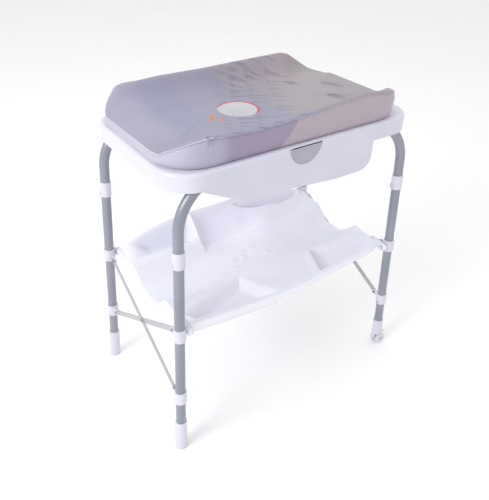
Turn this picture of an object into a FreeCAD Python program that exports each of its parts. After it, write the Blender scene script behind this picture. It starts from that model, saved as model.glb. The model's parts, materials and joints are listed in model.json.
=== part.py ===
"""Baby bath and changing stand: two leaning tube frames joined by crossed braces, a lift-off
bath tub under a hinged changing mat, and a moulded tray hung between the legs.

Millimetres, +X to the castor end, -Y to the front, +Z up. The origin is on the floor, under
the middle of the stand. Left is -X and the plain feet; right is +X and the castors.
"""

import FreeCAD, Part
import math
import os
import sys

import Sketcher
from FreeCAD import Placement, Rotation, Vector

SIZES = [
    # frame
    ("tube_diameter", 28.0, "outside of every frame tube"),
    ("tube_wall", 1.4, "wall of every frame tube"),
    ("joint_half_x", 380.0, "leg axis to the middle, along X, at the joint collars"),
    ("joint_half_y", 213.0, "leg axis to the middle, along Y, at the joint collars"),
    ("joint_height", 657.0, "middle of the joint collars"),
    ("tray_collar_height", 426.0, "middle of the collars that carry the tray"),
    ("brace_collar_height", 202.0, "middle of the lowest collars"),
    ("splay_angle", 2.65, "each leg leans out along X, degrees"),
    ("lean_angle", 1.82, "each frame leans out along Y, degrees"),
    ("rail_height", 855.0, "axis of the top rails"),
    ("bend_radius", 133.0, "centre line of the bends below the rails"),
    ("spigot_length", 96.0, "sleeve inside each leg joint"),
    ("slip_gap", 0.05, "radial clearance of what sits in or on a tube"),
    # collars
    ("joint_collar_length", 46.0, "collar over each leg joint"),
    ("joint_collar_wall", 2.4, "its wall"),
    ("button_diameter", 9.0, "push button of each leg joint"),
    ("button_reach", 4.2, "how far the button stands out of the tube"),
    ("button_travel", 3.0, "how far it is pressed"),
    ("button_gap", 0.3, "around the button in its hole"),
    ("button_boss_diameter", 18.0, "raised ring around the button"),
    ("clamp_collar_length", 40.0, "collars that carry the braces and the tray"),
    ("clamp_collar_wall", 3.4, "their wall"),
    ("collar_edge", 1.6, "rounded edge of every collar"),
    ("ear_reach", 33.0, "leg axis to the brace pivot"),
    ("ear_rise", 7.0, "brace pivot above or below the collar's middle"),
    ("ear_radius", 9.0, "rounded end of a brace ear"),
    ("ear_thickness", 4.0, "brace ear"),
    ("peg_diameter", 12.0, "peg under each tray hook"),
    ("peg_reach", 21.0, "how far a peg stands out of its collar"),
    ("button_drop", 12.0, "button below the middle of its collar"),
    ("boss_height", 1.6, "height of the ring"),
    ("boss_edge", 0.7, "rounded edge of the ring"),
    ("button_foot", 1.5, "thickness of the button's foot, and how far it is wider"),
    ("button_dome", 2.4, "rounded end of the button"),
    # braces
    ("brace_width", 16.0, "flat brace bar"),
    ("brace_thickness", 3.0, "flat brace bar"),
    ("rivet_diameter", 6.0, "brace rivets"),
    ("rivet_head", 11.0, "diameter of a rivet head"),
    ("rivet_head_height", 2.0, "height of a rivet head"),
    ("screw_diameter", 6.0, "collar screw heads"),
    ("screw_drop", 11.0, "collar screw below the middle of its collar"),
    ("screw_seat", 1.2, "how deep a screw head is let in"),
    # feet and castors
    ("sleeve_top_height", 104.0, "top of the foot and castor sleeves"),
    ("sleeve_wall", 3.4, "their wall"),
    ("sleeve_plug", 22.0, "solid end below the tube"),
    ("pad_height", 5.0, "rubber pad under a plain foot"),
    ("castor_head_height", 43.0, "underside of a castor sleeve"),
    ("wheel_diameter", 38.0, "castor wheels"),
    ("wheel_width", 13.0, "one castor wheel"),
    ("wheel_space", 11.0, "between the two wheels of a castor"),
    ("castor_trail", 8.0, "wheel axle behind the swivel axis"),
    ("axle_diameter", 5.0, "castor axle"),
    ("axle_gap", 0.08, "radial clearance of the wheels on the axle"),
    ("stem_diameter", 9.0, "swivel stem"),
    ("hood_thickness", 7.0, "castor body between the wheels"),
    ("lever_width", 17.0, "brake lever"),
    ("lever_thickness", 3.5, "brake lever"),
    ("pad_setback", 0.6, "foot pad inside its sleeve's edge"),
    ("pad_edge", 1.2, "rounded lower edge of a foot pad"),
    ("stem_gap", 0.08, "radial clearance of a swivel stem"),
    ("stem_length", 15.0, "depth of its socket"),
    ("head_gap", 0.5, "between a castor and its sleeve"),
    ("head_radius", 12.5, "castor's round head"),
    ("head_height", 3.0, "castor's round head"),
    ("wheel_edge", 2.0, "rounded edge of a wheel"),
    ("hub_recess", 1.5, "depth of a wheel's sunk hub"),
    ("lever_pivot_x", 14.0, "brake lever's pivot from the swivel axis"),
    ("lever_knuckle", 2.0, "radius of the lever's knuckle"),
    ("lever_gap", 0.3, "clearance round the lever"),
    ("lever_length", 14.0, "brake lever beyond its pivot"),
    ("axle_end", 1.0, "axle end outside a wheel"),
    # tub
    ("rim_half_x", 395.0, "tub rim to the middle, along X"),
    ("rim_half_y", 228.0, "tub rim to the middle, along Y"),
    ("rim_corner", 88.0, "outside radius of the rim's corners"),
    ("rim_top", 876.0, "top of the tub rim"),
    ("rim_edge", 9.0, "rounded top edge of the rim"),
    ("skirt_depth", 46.0, "rim's skirt, all round"),
    ("tub_wall", 3.0, "wall of the tub"),
    ("rail_space", 2.0, "beside the rails under the rim"),
    ("rail_seat_gap", 0.3, "between the rails and the seat ribs"),
    ("rib_thickness", 4.0, "seat ribs on the rails"),
    ("rib_spacing", 120.0, "between the seat ribs"),
    ("apron_low", 128.0, "deepest point of the aprons below the rim"),
    ("apron_shallow", 98.0, "apron depth at its left shoulder"),
    ("apron_left", 322.0, "left end of the aprons"),
    ("apron_shoulder", 215.0, "left shoulder of the aprons"),
    ("apron_right", 228.0, "right end of the aprons"),
    ("apron_corner", 38.0, "lower right corner of the aprons"),
    ("basin_half_x", 365.0, "basin mouth to the middle, along X"),
    ("basin_corner", 86.0, "corner radius of the basin mouth"),
    ("basin_depth", 168.0, "basin floor below the rim"),
    ("floor_left", 120.0, "left end of the basin floor"),
    ("floor_right", 226.0, "right end of the basin floor"),
    ("floor_half_y", 118.0, "half width of the basin floor"),
    ("drain_x", 150.0, "drain hole, from the middle"),
    ("drain_diameter", 34.0, "drain hole"),
    ("drain_flange", 52.0, "drain fitting flange"),
    ("drain_gap", 0.3, "plug in its seat"),
    ("grip_x", -14.0, "middle of the grip recess"),
    ("grip_radius", 53.0, "half-round grip recess"),
    ("grip_depth", 1.6, "how far its panel is set back"),
    ("shoulder_in", 32.0, "how far the basin draws in below its mouth"),
    ("shoulder_depth", 50.0, "depth at which it has done so"),
    ("apron_middle", 110.0, "deepest point of the aprons, from the middle"),
    ("apron_lift", 2.0, "rise from there to the aprons' right end"),
    ("shoulder_round", 90.0, "rounding of the aprons' left shoulder"),
    ("middle_round", 300.0, "rounding at their deepest point"),
    ("grip_edge", 6.0, "grip panel's top below the rim"),
    ("fitting_lip", 3.0, "thickness of the drain fitting's flange and the plug's"),
    ("fitting_drop", 14.0, "drain spout below the basin floor"),
    ("ring_radius", 8.0, "plug's pull ring"),
    ("ring_section", 1.8, "its section's radius"),
    ("ring_sink", 0.6, "how deep the ring is set into the plug"),
    # mat
    ("mat_x", -9.0, "middle of the mat"),
    ("mat_half_x", 379.0, "mat to its own middle, along X"),
    ("mat_half_y", 212.0, "mat to the middle, along Y"),
    ("mat_corner", 104.0, "corner radius of the mat"),
    ("board_thickness", 6.0, "stiff board under the mat"),
    ("board_gap", 0.3, "between the board and the rim"),
    ("pad_thickness", 24.0, "mat between its raised sides"),
    ("bolster_height", 82.0, "raised sides above the board"),
    ("bolster_flat", 16.0, "width of the crest of a raised side"),
    ("bolster_foot", 92.0, "width of a raised side at the foot"),
    ("bolster_end", 96.0, "length over which a raised side drops at the ends"),
    ("hinge_x", 210.0, "mat hinges to the middle"),
    ("hinge_setback", 9.0, "hinge axis behind the rim"),
    ("hinge_pin", 5.0, "hinge pin"),
    ("hinge_width", 34.0, "one hinge, over its two ears"),
    ("hinge_gap", 0.5, "beside each hinge knuckle"),
    ("board_inset", 3.0, "board inside the mat's outline"),
    ("ear_width", 4.0, "one ear of a hinge bracket"),
    ("ear_drop", 30.0, "twice the ears' height below the bracket's top"),
    ("ear_setback", 0.5, "between the ears and the rim"),
    ("knuckle_extra", 1.5, "hinge knuckle outside the board's thickness"),
    ("hinge_ear_radius", 5.5, "rounded end of a hinge ear"),
    ("base_thickness", 3.0, "plate of a hinge bracket"),
    ("pin_head", 1.5, "head of a hinge pin"),
    ("right_end_rise", 20.0, "raised sides above the middle at the right end"),
    ("right_end_length", 160.0, "length over which they drop towards it"),
    # tray
    ("tray_half_x", 366.0, "tray to the middle, along X"),
    ("tray_half_y", 205.0, "tray to the middle, along Y"),
    ("tray_thickness", 3.2, "tray wall"),
    ("tray_arm_height", 436.0, "top of the tray at its four arms"),
    ("tray_floor", 386.0, "middle of the tray"),
    ("tray_back_rise", 102.0, "rear wall above the middle of the tray"),
    ("tray_front_rise", 20.0, "front lip above the middle of the tray"),
    ("tray_pocket_depth", 27.0, "corner pockets of the tray"),
    ("hook_width", 16.0, "tray hook, along its peg"),
    ("hook_wall", 6.0, "tray hook over its peg"),
    ("hook_gap", 0.4, "tray hook on its peg"),
]

DEPTH_SIDES = {"front": -1, "rear": 1}
WIDTH_SIDES = {"left": -1, "right": 1}

doc = FreeCAD.newDocument("changing_table")
sheet = doc.addObject("Spreadsheet::Sheet", "sizes")
for row, (alias, number, meaning) in enumerate(SIZES, start=1):
    sheet.set(f"A{row}", alias)
    sheet.set(f"B{row}", str(number))
    sheet.set(f"C{row}", meaning)
    sheet.setAlias(f"B{row}", alias)
doc.recompute()


class Dim:
    """A size worked out from the sheet: its value now, and the expression that binds it."""

    def __init__(self, value, text):
        self.value = value
        self.text = text

    def __add__(self, other):
        other = dim(other)
        return Dim(self.value + other.value, f"({self.text} + {other.text})")

    def __sub__(self, other):
        other = dim(other)
        return Dim(self.value - other.value, f"({self.text} - {other.text})")

    def __mul__(self, factor):
        return Dim(self.value * factor, f"({self.text} * {factor})")

    def __truediv__(self, factor):
        return Dim(self.value / factor, f"({self.text} / {factor})")

    def __neg__(self):
        return Dim(-self.value, f"(0 - {self.text})")

    def __rsub__(self, other):
        return dim(other) - self

    __radd__ = __add__
    __rmul__ = __mul__


def dim(number):
    """A Dim from a plain number; a Dim stays as it is."""
    return number if isinstance(number, Dim) else Dim(float(number), f"{float(number)}")


S = type("Sheet", (), {alias: Dim(float(sheet.get(alias)), f"sizes.{alias}") for alias, _, _ in SIZES})


# ---------------------------------------------------------------- placements

COS_LEAN = math.cos(math.radians(S.lean_angle.value))
COS_SPLAY = math.cos(math.radians(S.splay_angle.value))
TAN_SPLAY = math.tan(math.radians(S.splay_angle.value))
TAN_LEAN = math.tan(math.radians(S.lean_angle.value))
FOOT_HALF_X = S.joint_half_x.value + S.joint_height.value * TAN_SPLAY / COS_LEAN
FOOT_HALF_Y = S.joint_half_y.value + S.joint_height.value * TAN_LEAN
X_AXIS = Vector(1, 0, 0)
Y_AXIS = Vector(0, 1, 0)
Z_AXIS = Vector(0, 0, 1)


def shift(x=0.0, y=0.0, z=0.0):
    return Placement(Vector(x, y, z), Rotation())


def turn(axis, degrees):
    return Placement(Vector(), Rotation(axis, degrees))


def frame_plane(sy):
    """The leaning plane of the front or rear frame: local x along X, local z up the frame."""
    return shift(y=sy * FOOT_HALF_Y) * turn(X_AXIS, sy * S.lean_angle.value)


def leg_line(sx, sy):
    """A leg's own frame: its origin where the axis meets the floor, local z up the leg."""
    return frame_plane(sy) * shift(x=sx * FOOT_HALF_X) * turn(Y_AXIS, -sx * S.splay_angle.value)


def on_leg(sx, sy, height):
    """The leg's own frame, raised to a height above the floor."""
    return leg_line(sx, sy) * shift(z=height / (COS_LEAN * COS_SPLAY))


def legs():
    """Each leg's name with its side of X and of Y."""
    for depth, sy in DEPTH_SIDES.items():
        for width, sx in WIDTH_SIDES.items():
            yield f"{depth}_{width}", sx, sy


# ---------------------------------------------------------------- building blocks

PARTS = {}


def keep(name, obj, place=None):
    """Marks an object as a finished sub-part, names its file and puts it in its place."""
    obj.Label = name
    if place is not None:
        obj.Placement = place
    PARTS[name] = obj
    return obj


def bind(obj, **sizes):
    for prop, value in sizes.items():
        obj.setExpression(prop, dim(value).text)
    return obj


def new_body(name):
    return doc.addObject("PartDesign::Body", name + "_body")


def solid(body, kind, sizes, at=(0, 0, 0), rotation=None):
    """A PartDesign primitive in a body, with its sizes and its corner or centre bound."""
    feature = body.newObject("PartDesign::" + kind, kind)
    if rotation is not None:
        feature.Placement = Placement(Vector(), rotation)
    bind(feature, **sizes)
    for letter, value in zip("xyz", at):
        value = dim(value)
        if value.value:
            feature.setExpression(".Placement.Base." + letter, value.text)
    return feature


def rod(body, radius, length, at=(0, 0, 0), rotation=None, cut=False):
    kind = "SubtractiveCylinder" if cut else "AdditiveCylinder"
    return solid(body, kind, {"Radius": radius, "Height": length}, at, rotation)


def block(body, length, width, height, at=(0, 0, 0), rotation=None, cut=False):
    kind = "SubtractiveBox" if cut else "AdditiveBox"
    return solid(body, kind, {"Length": length, "Width": width, "Height": height}, at, rotation)


def soften(body, radius, wanted):
    """Rounds the edges of the body's tip for which wanted(edge) is true."""
    doc.recompute()
    tip = body.Tip
    names = [f"Edge{i}" for i, edge in enumerate(tip.Shape.Edges, 1) if wanted(edge)]
    fillet = body.newObject("PartDesign::Fillet", "Fillet")
    fillet.Base = (tip, names)
    bind(fillet, Radius=radius)
    return fillet


def is_circle(edge, radius):
    curve = edge.Curve
    return isinstance(curve, Part.Circle) and abs(curve.Radius - radius) < 0.01


ALONG_X = Rotation(Y_AXIS, 90)
ALONG_Y = Rotation(X_AXIS, -90)


def tube_outer():
    return S.tube_diameter / 2


def tube_inner():
    return S.tube_diameter / 2 - S.tube_wall


def origin_plane(body, role):
    return next(plane for plane in body.Origin.OriginFeatures if plane.Role == role)


def outline(body, role, points, offset=0):
    """A closed polygon sketch on one of the body's planes, each corner placed from the origin."""
    sketch = body.newObject("Sketcher::SketchObject", "Outline")
    sketch.AttachmentSupport = (origin_plane(body, role), "")
    sketch.MapMode = "FlatFace"
    offset = dim(offset)
    if offset.value:
        sketch.setExpression(".AttachmentOffset.Base.z", offset.text)
    points = [(dim(x), dim(y)) for x, y in points]
    count = len(points)
    for i, (x, y) in enumerate(points):
        next_x, next_y = points[(i + 1) % count]
        start = Vector(x.value, y.value, 0)
        end = Vector(next_x.value, next_y.value, 0)
        sketch.addGeometry(Part.LineSegment(start, end))
    for i in range(count):
        sketch.addConstraint(Sketcher.Constraint("Coincident", i, 2, (i + 1) % count, 1))
    for i, (x, y) in enumerate(points):
        for kind, axis, value in (("DistanceX", -2, x), ("DistanceY", -1, y)):
            if abs(value.value) < 1e-9:
                sketch.addConstraint(Sketcher.Constraint("PointOnObject", i, 1, axis))
            else:
                index = sketch.addConstraint(Sketcher.Constraint(kind, -1, 1, i, 1, value.value))
                sketch.setExpression(f"Constraints[{index}]", value.text)
    return sketch


def rounded_outline(body, low_x, high_x, half_y, radius, height):
    """A rounded rectangle on the body's XY plane, raised to a height."""
    sketch = body.newObject("Sketcher::SketchObject", "Rounded")
    sketch.AttachmentSupport = (origin_plane(body, "XY_Plane"), "")
    sketch.MapMode = "FlatFace"
    sketch.setExpression(".AttachmentOffset.Base.z", dim(height).text)
    left, right, half, r = (dim(v).value for v in (low_x, high_x, half_y, radius))
    centres = [(right - r, half - r), (left + r, half - r), (left + r, r - half), (right - r, r - half)]
    for quarter, (x, y) in enumerate(centres):
        start = quarter * math.pi / 2
        circle = Part.Circle(Vector(x, y, 0), Z_AXIS, r)
        sketch.addGeometry(Part.ArcOfCircle(circle, start, start + math.pi / 2))
    for quarter, (x, y) in enumerate(centres):
        next_x, next_y = centres[(quarter + 1) % 4]
        side = Vector(math.cos((quarter + 1) * math.pi / 2), math.sin((quarter + 1) * math.pi / 2), 0) * r
        sketch.addGeometry(Part.LineSegment(Vector(x, y, 0) + side, Vector(next_x, next_y, 0) + side))
    for quarter in range(4):
        line = 4 + quarter
        sketch.addConstraint(Sketcher.Constraint("Tangent", quarter, 2, line, 1))
        sketch.addConstraint(Sketcher.Constraint("Tangent", line, 2, (quarter + 1) % 4, 1))
    for quarter in range(3):
        sketch.addConstraint(Sketcher.Constraint("Equal", quarter, quarter + 1))
    for line, direction in ((4, "Horizontal"), (6, "Horizontal"), (5, "Vertical"), (7, "Vertical")):
        sketch.addConstraint(Sketcher.Constraint(direction, line))
    sizes = [
        (Sketcher.Constraint("Radius", 0, r), dim(radius)),
        (Sketcher.Constraint("DistanceY", -1, 1, 4, 1, half), dim(half_y)),
        (Sketcher.Constraint("DistanceY", -1, 1, 6, 1, -half), -dim(half_y)),
        (Sketcher.Constraint("DistanceX", -1, 1, 5, 1, left), dim(low_x)),
        (Sketcher.Constraint("DistanceX", -1, 1, 7, 1, right), dim(high_x)),
    ]
    for constraint, value in sizes:
        index = sketch.addConstraint(constraint)
        sketch.setExpression(f"Constraints[{index}]", value.text)
    return sketch


def extrude(body, sketch, length, cut=False, both_ways=False):
    """Pads or pockets a sketch; a pad goes along the plane's normal, a pocket against it."""
    feature = body.newObject("PartDesign::Pocket" if cut else "PartDesign::Pad", "Extrusion")
    feature.Profile = sketch
    bind(feature, Length=length)
    if both_ways:
        feature.Midplane = True
    sketch.Visibility = False
    return feature


# ---------------------------------------------------------------- frame tubes

def rail_path(name):
    """Centre line of an inverted U in its own plane: up a leg, round, along the rail and down."""
    height = S.rail_height.value / COS_LEAN
    start = S.joint_height.value / COS_LEAN
    half_turn = math.radians(90 - S.splay_angle.value) / 2
    tangent = S.bend_radius.value * math.tan(half_turn)
    corner_x = FOOT_HALF_X - height * TAN_SPLAY
    up_leg = Vector(math.sin(math.radians(S.splay_angle.value)), 0, COS_SPLAY)
    corner = Vector(-corner_x, 0, height)
    bend_start = corner - up_leg * tangent
    bend_end = corner + X_AXIS * tangent
    centre = bend_end - Z_AXIS * S.bend_radius.value
    bend_middle = centre + (corner - centre).normalize() * S.bend_radius.value
    foot = Vector(start * TAN_SPLAY - FOOT_HALF_X, 0, start)

    def across(point):
        return Vector(-point.x, point.y, point.z)

    edges = [
        Part.LineSegment(foot, bend_start),
        Part.Arc(bend_start, bend_middle, bend_end),
        Part.LineSegment(bend_end, across(bend_end)),
        Part.Arc(across(bend_end), across(bend_middle), across(bend_start)),
        Part.LineSegment(across(bend_start), across(foot)),
    ]
    path = doc.addObject("Part::Feature", name + "_path")
    path.Shape = Part.Wire([edge.toShape() for edge in edges])
    return path, foot, up_leg


def swept_rod(name, path, start, direction, radius):
    """A round bar of the given radius along the path."""
    ring = doc.addObject("Part::Circle", name + "_section")
    bind(ring, Radius=radius)
    ring.Placement = Placement(start, Rotation(Z_AXIS, direction))
    sweep = doc.addObject("Part::Sweep", name)
    sweep.Sections = [ring]
    sweep.Spine = (path, [f"Edge{i}" for i in range(1, len(path.Shape.Edges) + 1)])
    sweep.Solid = True
    sweep.Frenet = True
    return sweep


def top_tube(name, sy):
    path, start, direction = rail_path(name)
    cut = doc.addObject("Part::Cut", name)
    cut.Base = swept_rod(name + "_outside", path, start, direction, tube_outer())
    cut.Tool = swept_rod(name + "_inside", path, start, direction, tube_inner())
    keep(name, cut, frame_plane(sy))


# Every push button looks to the left and a little to the rear, low on its collar.
BUTTON_SIDE = (-0.958, 0.287)
BUTTON_TURN = Rotation(Z_AXIS, Vector(*BUTTON_SIDE, 0))


def button_bore(body, drop):
    """Cuts the way through for a leg's push button; drop is its place below the body's origin."""
    radius = S.button_diameter / 2 + S.button_gap
    rod(body, radius, S.tube_diameter, (0, 0, -dim(drop)), BUTTON_TURN, cut=True)


def leg_tube(name, sx, sy):
    """Lower leg: from the plug of its foot up to the joint, with the button's hole near the top."""
    bottom = S.castor_head_height + S.sleeve_plug
    length = (S.joint_height - bottom) / (COS_LEAN * COS_SPLAY)
    body = new_body(name)
    rod(body, tube_outer(), length, (0, 0, -length))
    rod(body, tube_inner(), length, (0, 0, -length), cut=True)
    button_bore(body, S.button_drop)
    keep(name, body, on_leg(sx, sy, S.joint_height.value))


def spigot(name, sx, sy):
    """Sleeve inside the joint, half in the leg and half in the top tube."""
    body = new_body(name)
    low = -S.spigot_length / 2
    rod(body, tube_inner() - S.slip_gap, S.spigot_length, (0, 0, low))
    rod(body, tube_inner() - S.slip_gap - S.tube_wall, S.spigot_length, (0, 0, low), cut=True)
    button_bore(body, S.button_drop)
    keep(name, body, on_leg(sx, sy, S.joint_height.value))


# ---------------------------------------------------------------- collars, pegs and buttons

def collar_blank(body, length, wall):
    """A collar's outside: a short rod with rounded rims, centred on the origin."""
    radius = tube_outer() + wall
    rod(body, radius, length, (0, 0, -length / 2))
    soften(body, S.collar_edge, lambda edge: is_circle(edge, radius.value))
    return radius


def collar_bore(body, length):
    rod(body, tube_outer() + S.slip_gap, length * 2, (0, 0, -length), cut=True)


def joint_collar(name, sx, sy):
    """Collar over a leg joint, with the raised ring that guides the push button."""
    body = new_body(name)
    radius = collar_blank(body, S.joint_collar_length, S.joint_collar_wall)
    rod(body, S.button_boss_diameter / 2, radius + S.boss_height, (0, 0, -S.button_drop), BUTTON_TURN)
    soften(body, S.boss_edge, lambda edge: is_circle(edge, S.button_boss_diameter.value / 2))
    collar_bore(body, S.joint_collar_length)
    button_bore(body, S.button_drop)
    keep(name, body, on_leg(sx, sy, S.joint_height.value))


def push_button(name, sx, sy):
    """Spring button: a domed pin with a wider foot inside the spigot."""
    body = new_body(name)
    low = (0, 0, -S.button_drop)
    inside = tube_inner() - S.slip_gap - S.tube_wall
    foot = inside - S.button_travel - S.button_foot
    tip = tube_outer() + S.button_reach
    rod(body, S.button_diameter / 2, tip, low, BUTTON_TURN)
    soften(body, S.button_dome, lambda edge: is_circle(edge, S.button_diameter.value / 2) and far_end(edge))
    rod(body, S.button_diameter, foot, low, BUTTON_TURN, cut=True)
    out_x, out_y = foot * BUTTON_SIDE[0], foot * BUTTON_SIDE[1]
    foot_radius = S.button_diameter / 2 + S.button_foot
    rod(body, foot_radius, S.button_foot, (out_x, out_y, -S.button_drop), BUTTON_TURN)
    keep(name, body, on_leg(sx, sy, S.joint_height.value))


def far_end(edge):
    """Whether a circle lies well off the leg's axis."""
    centre = edge.Curve.Center
    return math.hypot(centre.x, centre.y) > S.tube_diameter.value / 2


def clamp_collar(name, sx, sy, height, rise, ear_outside, with_peg):
    """Clamp collar with a brace ear towards the other frame, and a peg for the tray's hook."""
    body = new_body(name)
    inward = -sy
    low_side = -S.ear_thickness if ear_outside == (sx > 0) else dim(0)
    radius = collar_blank(body, S.clamp_collar_length, S.clamp_collar_wall)
    drop = dim(rise) if rise else dim(0)
    reach_y = S.ear_reach * inward
    low_y = dim(0) if inward > 0 else -S.ear_reach
    block(body, S.ear_thickness, S.ear_reach, S.ear_radius * 2, (low_side, low_y, drop - S.ear_radius))
    rod(body, S.ear_radius, S.ear_thickness, (low_side, reach_y, drop), ALONG_X)
    if with_peg:
        start = dim(0) if sx < 0 else -(radius + S.peg_reach)
        rod(body, S.peg_diameter / 2, radius + S.peg_reach, (start, 0, 0), ALONG_X)
    collar_bore(body, S.clamp_collar_length)
    seat = radius - S.screw_seat if sx < 0 else -(radius - S.screw_seat + S.screw_diameter)
    rod(body, S.screw_diameter / 2, S.screw_diameter, (seat, 0, -dim(S.screw_drop)), ALONG_X, cut=True)
    bore_start = S.ear_thickness * -1.5
    rod(body, S.rivet_diameter / 2, S.ear_thickness * 3, (bore_start, reach_y, drop), ALONG_X, cut=True)
    keep(name, body, on_leg(sx, sy, height.value))


def ear_pivot(sx, sy, height, rise):
    """Middle of an ear's hole, in the stand's frame."""
    return on_leg(sx, sy, height.value).multVec(Vector(0, -sy * S.ear_reach.value, rise.value))


# ---------------------------------------------------------------- braces

def brace_ends(sx, rising_to_rear):
    """The two pivots of a brace: low at one frame and high at the other."""
    low_sy = DEPTH_SIDES["front" if rising_to_rear else "rear"]
    low = ear_pivot(sx, low_sy, S.brace_collar_height, S.ear_rise)
    high = ear_pivot(sx, -low_sy, S.tray_collar_height, -S.ear_rise)
    return low, high


def brace_frame(sx, rising_to_rear):
    """A brace's own frame (origin midway, local x up the bar, local z out of it), its length, and
    where along it the other brace crosses."""
    low, high = brace_ends(sx, rising_to_rear)
    along = (high - low).normalize()
    outward = turn(Y_AXIS, -sx * S.splay_angle.value).multVec(X_AXIS)
    across = outward.cross(along).normalize()
    normal = along.cross(across)
    rotation = Rotation(FreeCAD.Matrix(
        along.x, across.x, normal.x, 0, along.y, across.y, normal.y, 0,
        along.z, across.z, normal.z, 0, 0, 0, 0, 1,
    ))
    length = (high - low).Length
    crossing = length * (abs(low.y) / (abs(low.y) + abs(high.y)) - 0.5)
    return Placement((low + high) / 2, rotation), length, crossing


def brace(name, sx, rising_to_rear, outside):
    """A flat bar with round ends and a rivet hole at each end and in the middle."""
    place, length, crossing = brace_frame(sx, rising_to_rear)
    bottom = dim(0) if outside == (sx > 0) else -S.brace_thickness
    body = new_body(name)
    block(body, length, S.brace_width, S.brace_thickness, (-length / 2, -S.brace_width / 2, bottom))
    for end in (-length / 2, length / 2):
        rod(body, S.brace_width / 2, S.brace_thickness, (end, 0, bottom))
    for hole in (-length / 2, crossing, length / 2):
        rod(body, S.rivet_diameter / 2, S.brace_thickness * 4, (hole, 0, S.brace_thickness * -2), cut=True)
    keep(name, body, place)


def rivet(name, place, low, high):
    """A rivet along local z, its heads outside low and high."""
    pieces = []
    for radius, start, end in (
        (S.rivet_diameter / 2, low, high),
        (S.rivet_head / 2, low - S.rivet_head_height, low),
        (S.rivet_head / 2, high, high + S.rivet_head_height),
    ):
        piece = doc.addObject("Part::Cylinder", name)
        bind(piece, Radius=radius, Height=end - start)
        piece.Placement = place * shift(z=start.value)
        pieces.append(piece)
    fused = doc.addObject("Part::MultiFuse", name)
    fused.Shapes = pieces
    return fused


def group(name, pieces):
    """Identical fasteners as one sub-part of separate solids."""
    compound = doc.addObject("Part::Compound", name)
    compound.Links = pieces
    keep(name, compound)


def brace_rivets():
    """One rivet at each brace end and one where each pair of braces crosses."""
    rivets = []
    for sx in WIDTH_SIDES.values():
        for rising_to_rear in (True, False):
            place, length, crossing = brace_frame(sx, rising_to_rear)
            bar_above = rising_to_rear == (sx > 0)
            low = -S.ear_thickness if bar_above else -S.brace_thickness
            high = S.brace_thickness if bar_above else S.ear_thickness
            for end in (-length / 2, length / 2):
                rivets.append(rivet("brace_end_rivet", place * shift(x=end), low, high))
            if rising_to_rear:
                middle = place * shift(x=crossing)
                rivets.append(rivet("brace_middle_rivet", middle, -S.brace_thickness, S.brace_thickness))
    group("brace_rivets", rivets)


def collar_screws():
    """A screw head on the inner side of each clamp collar."""
    screws = []
    surface = S.tube_diameter.value / 2 + S.clamp_collar_wall.value
    for _, sx, sy in legs():
        for height in (S.tray_collar_height, S.brace_collar_height):
            screw = doc.addObject("Part::Cylinder", "collar_screw")
            bind(screw, Radius=S.screw_diameter / 2, Height=S.screw_diameter / 2)
            side = turn(Z_AXIS, 180 if sx > 0 else 0)
            start = shift(x=surface - S.screw_seat.value, z=-S.screw_drop.value)
            screw.Placement = on_leg(sx, sy, height.value) * side * start * Placement(Vector(), ALONG_X)
            screws.append(screw)
    group("collar_screws", screws)


# ---------------------------------------------------------------- feet and castors

def level_cut(body, sx, sy, height):
    """Cuts a leg's piece off level at a height above the floor."""
    reach = S.tube_diameter.value * 2
    piece = block(body, reach * 2, reach * 2, reach * 3, cut=True)
    under = leg_line(sx, sy).multVec(Vector())
    corner = shift(under.x - reach, under.y - reach, height.value - reach * 3)
    piece.Placement = leg_line(sx, sy).inverse() * corner


def sleeve(body, sx, sy, bottom):
    """Plastic sleeve over a leg's end, cut off level at the bottom."""
    cosine = COS_LEAN * COS_SPLAY
    top = S.sleeve_top_height / cosine
    rod(body, tube_outer() + S.sleeve_wall, top)
    radius = tube_outer().value + S.sleeve_wall.value
    soften(body, S.collar_edge, lambda edge: is_circle(edge, radius) and edge.Curve.Center.z > 1)
    tube_bottom = (S.castor_head_height + S.sleeve_plug) / cosine
    rod(body, tube_outer() + S.slip_gap, S.sleeve_top_height, (0, 0, tube_bottom), cut=True)
    level_cut(body, sx, sy, bottom)


def under_leg(sx, sy, height):
    """A level placement where a leg's axis passes a height."""
    point = on_leg(sx, sy, height.value).multVec(Vector())
    return shift(point.x, point.y)


def plain_foot(name, sx, sy):
    body = new_body(name + "_foot")
    sleeve(body, sx, sy, S.pad_height)
    keep(name + "_foot", body, leg_line(sx, sy))
    pad = new_body(name + "_foot_pad")
    radius = tube_outer() + S.sleeve_wall - S.pad_setback
    rod(pad, radius, S.pad_height)
    soften(pad, S.pad_edge, lambda edge: is_circle(edge, radius.value) and edge.Curve.Center.z < 1)
    keep(name + "_foot_pad", pad, under_leg(sx, sy, S.pad_height))


HUB_SHARE = 0.62


def castor_sleeve(name, sx, sy):
    """Leg sleeve with the socket for the castor's stem."""
    body = new_body(name)
    sleeve(body, sx, sy, S.castor_head_height)
    socket = rod(body, S.stem_diameter / 2 + S.stem_gap, S.stem_length * 2, cut=True)
    low = under_leg(sx, sy, S.castor_head_height) * shift(z=(S.castor_head_height - S.stem_length).value)
    socket.Placement = leg_line(sx, sy).inverse() * low
    keep(name, body, leg_line(sx, sy))


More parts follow.
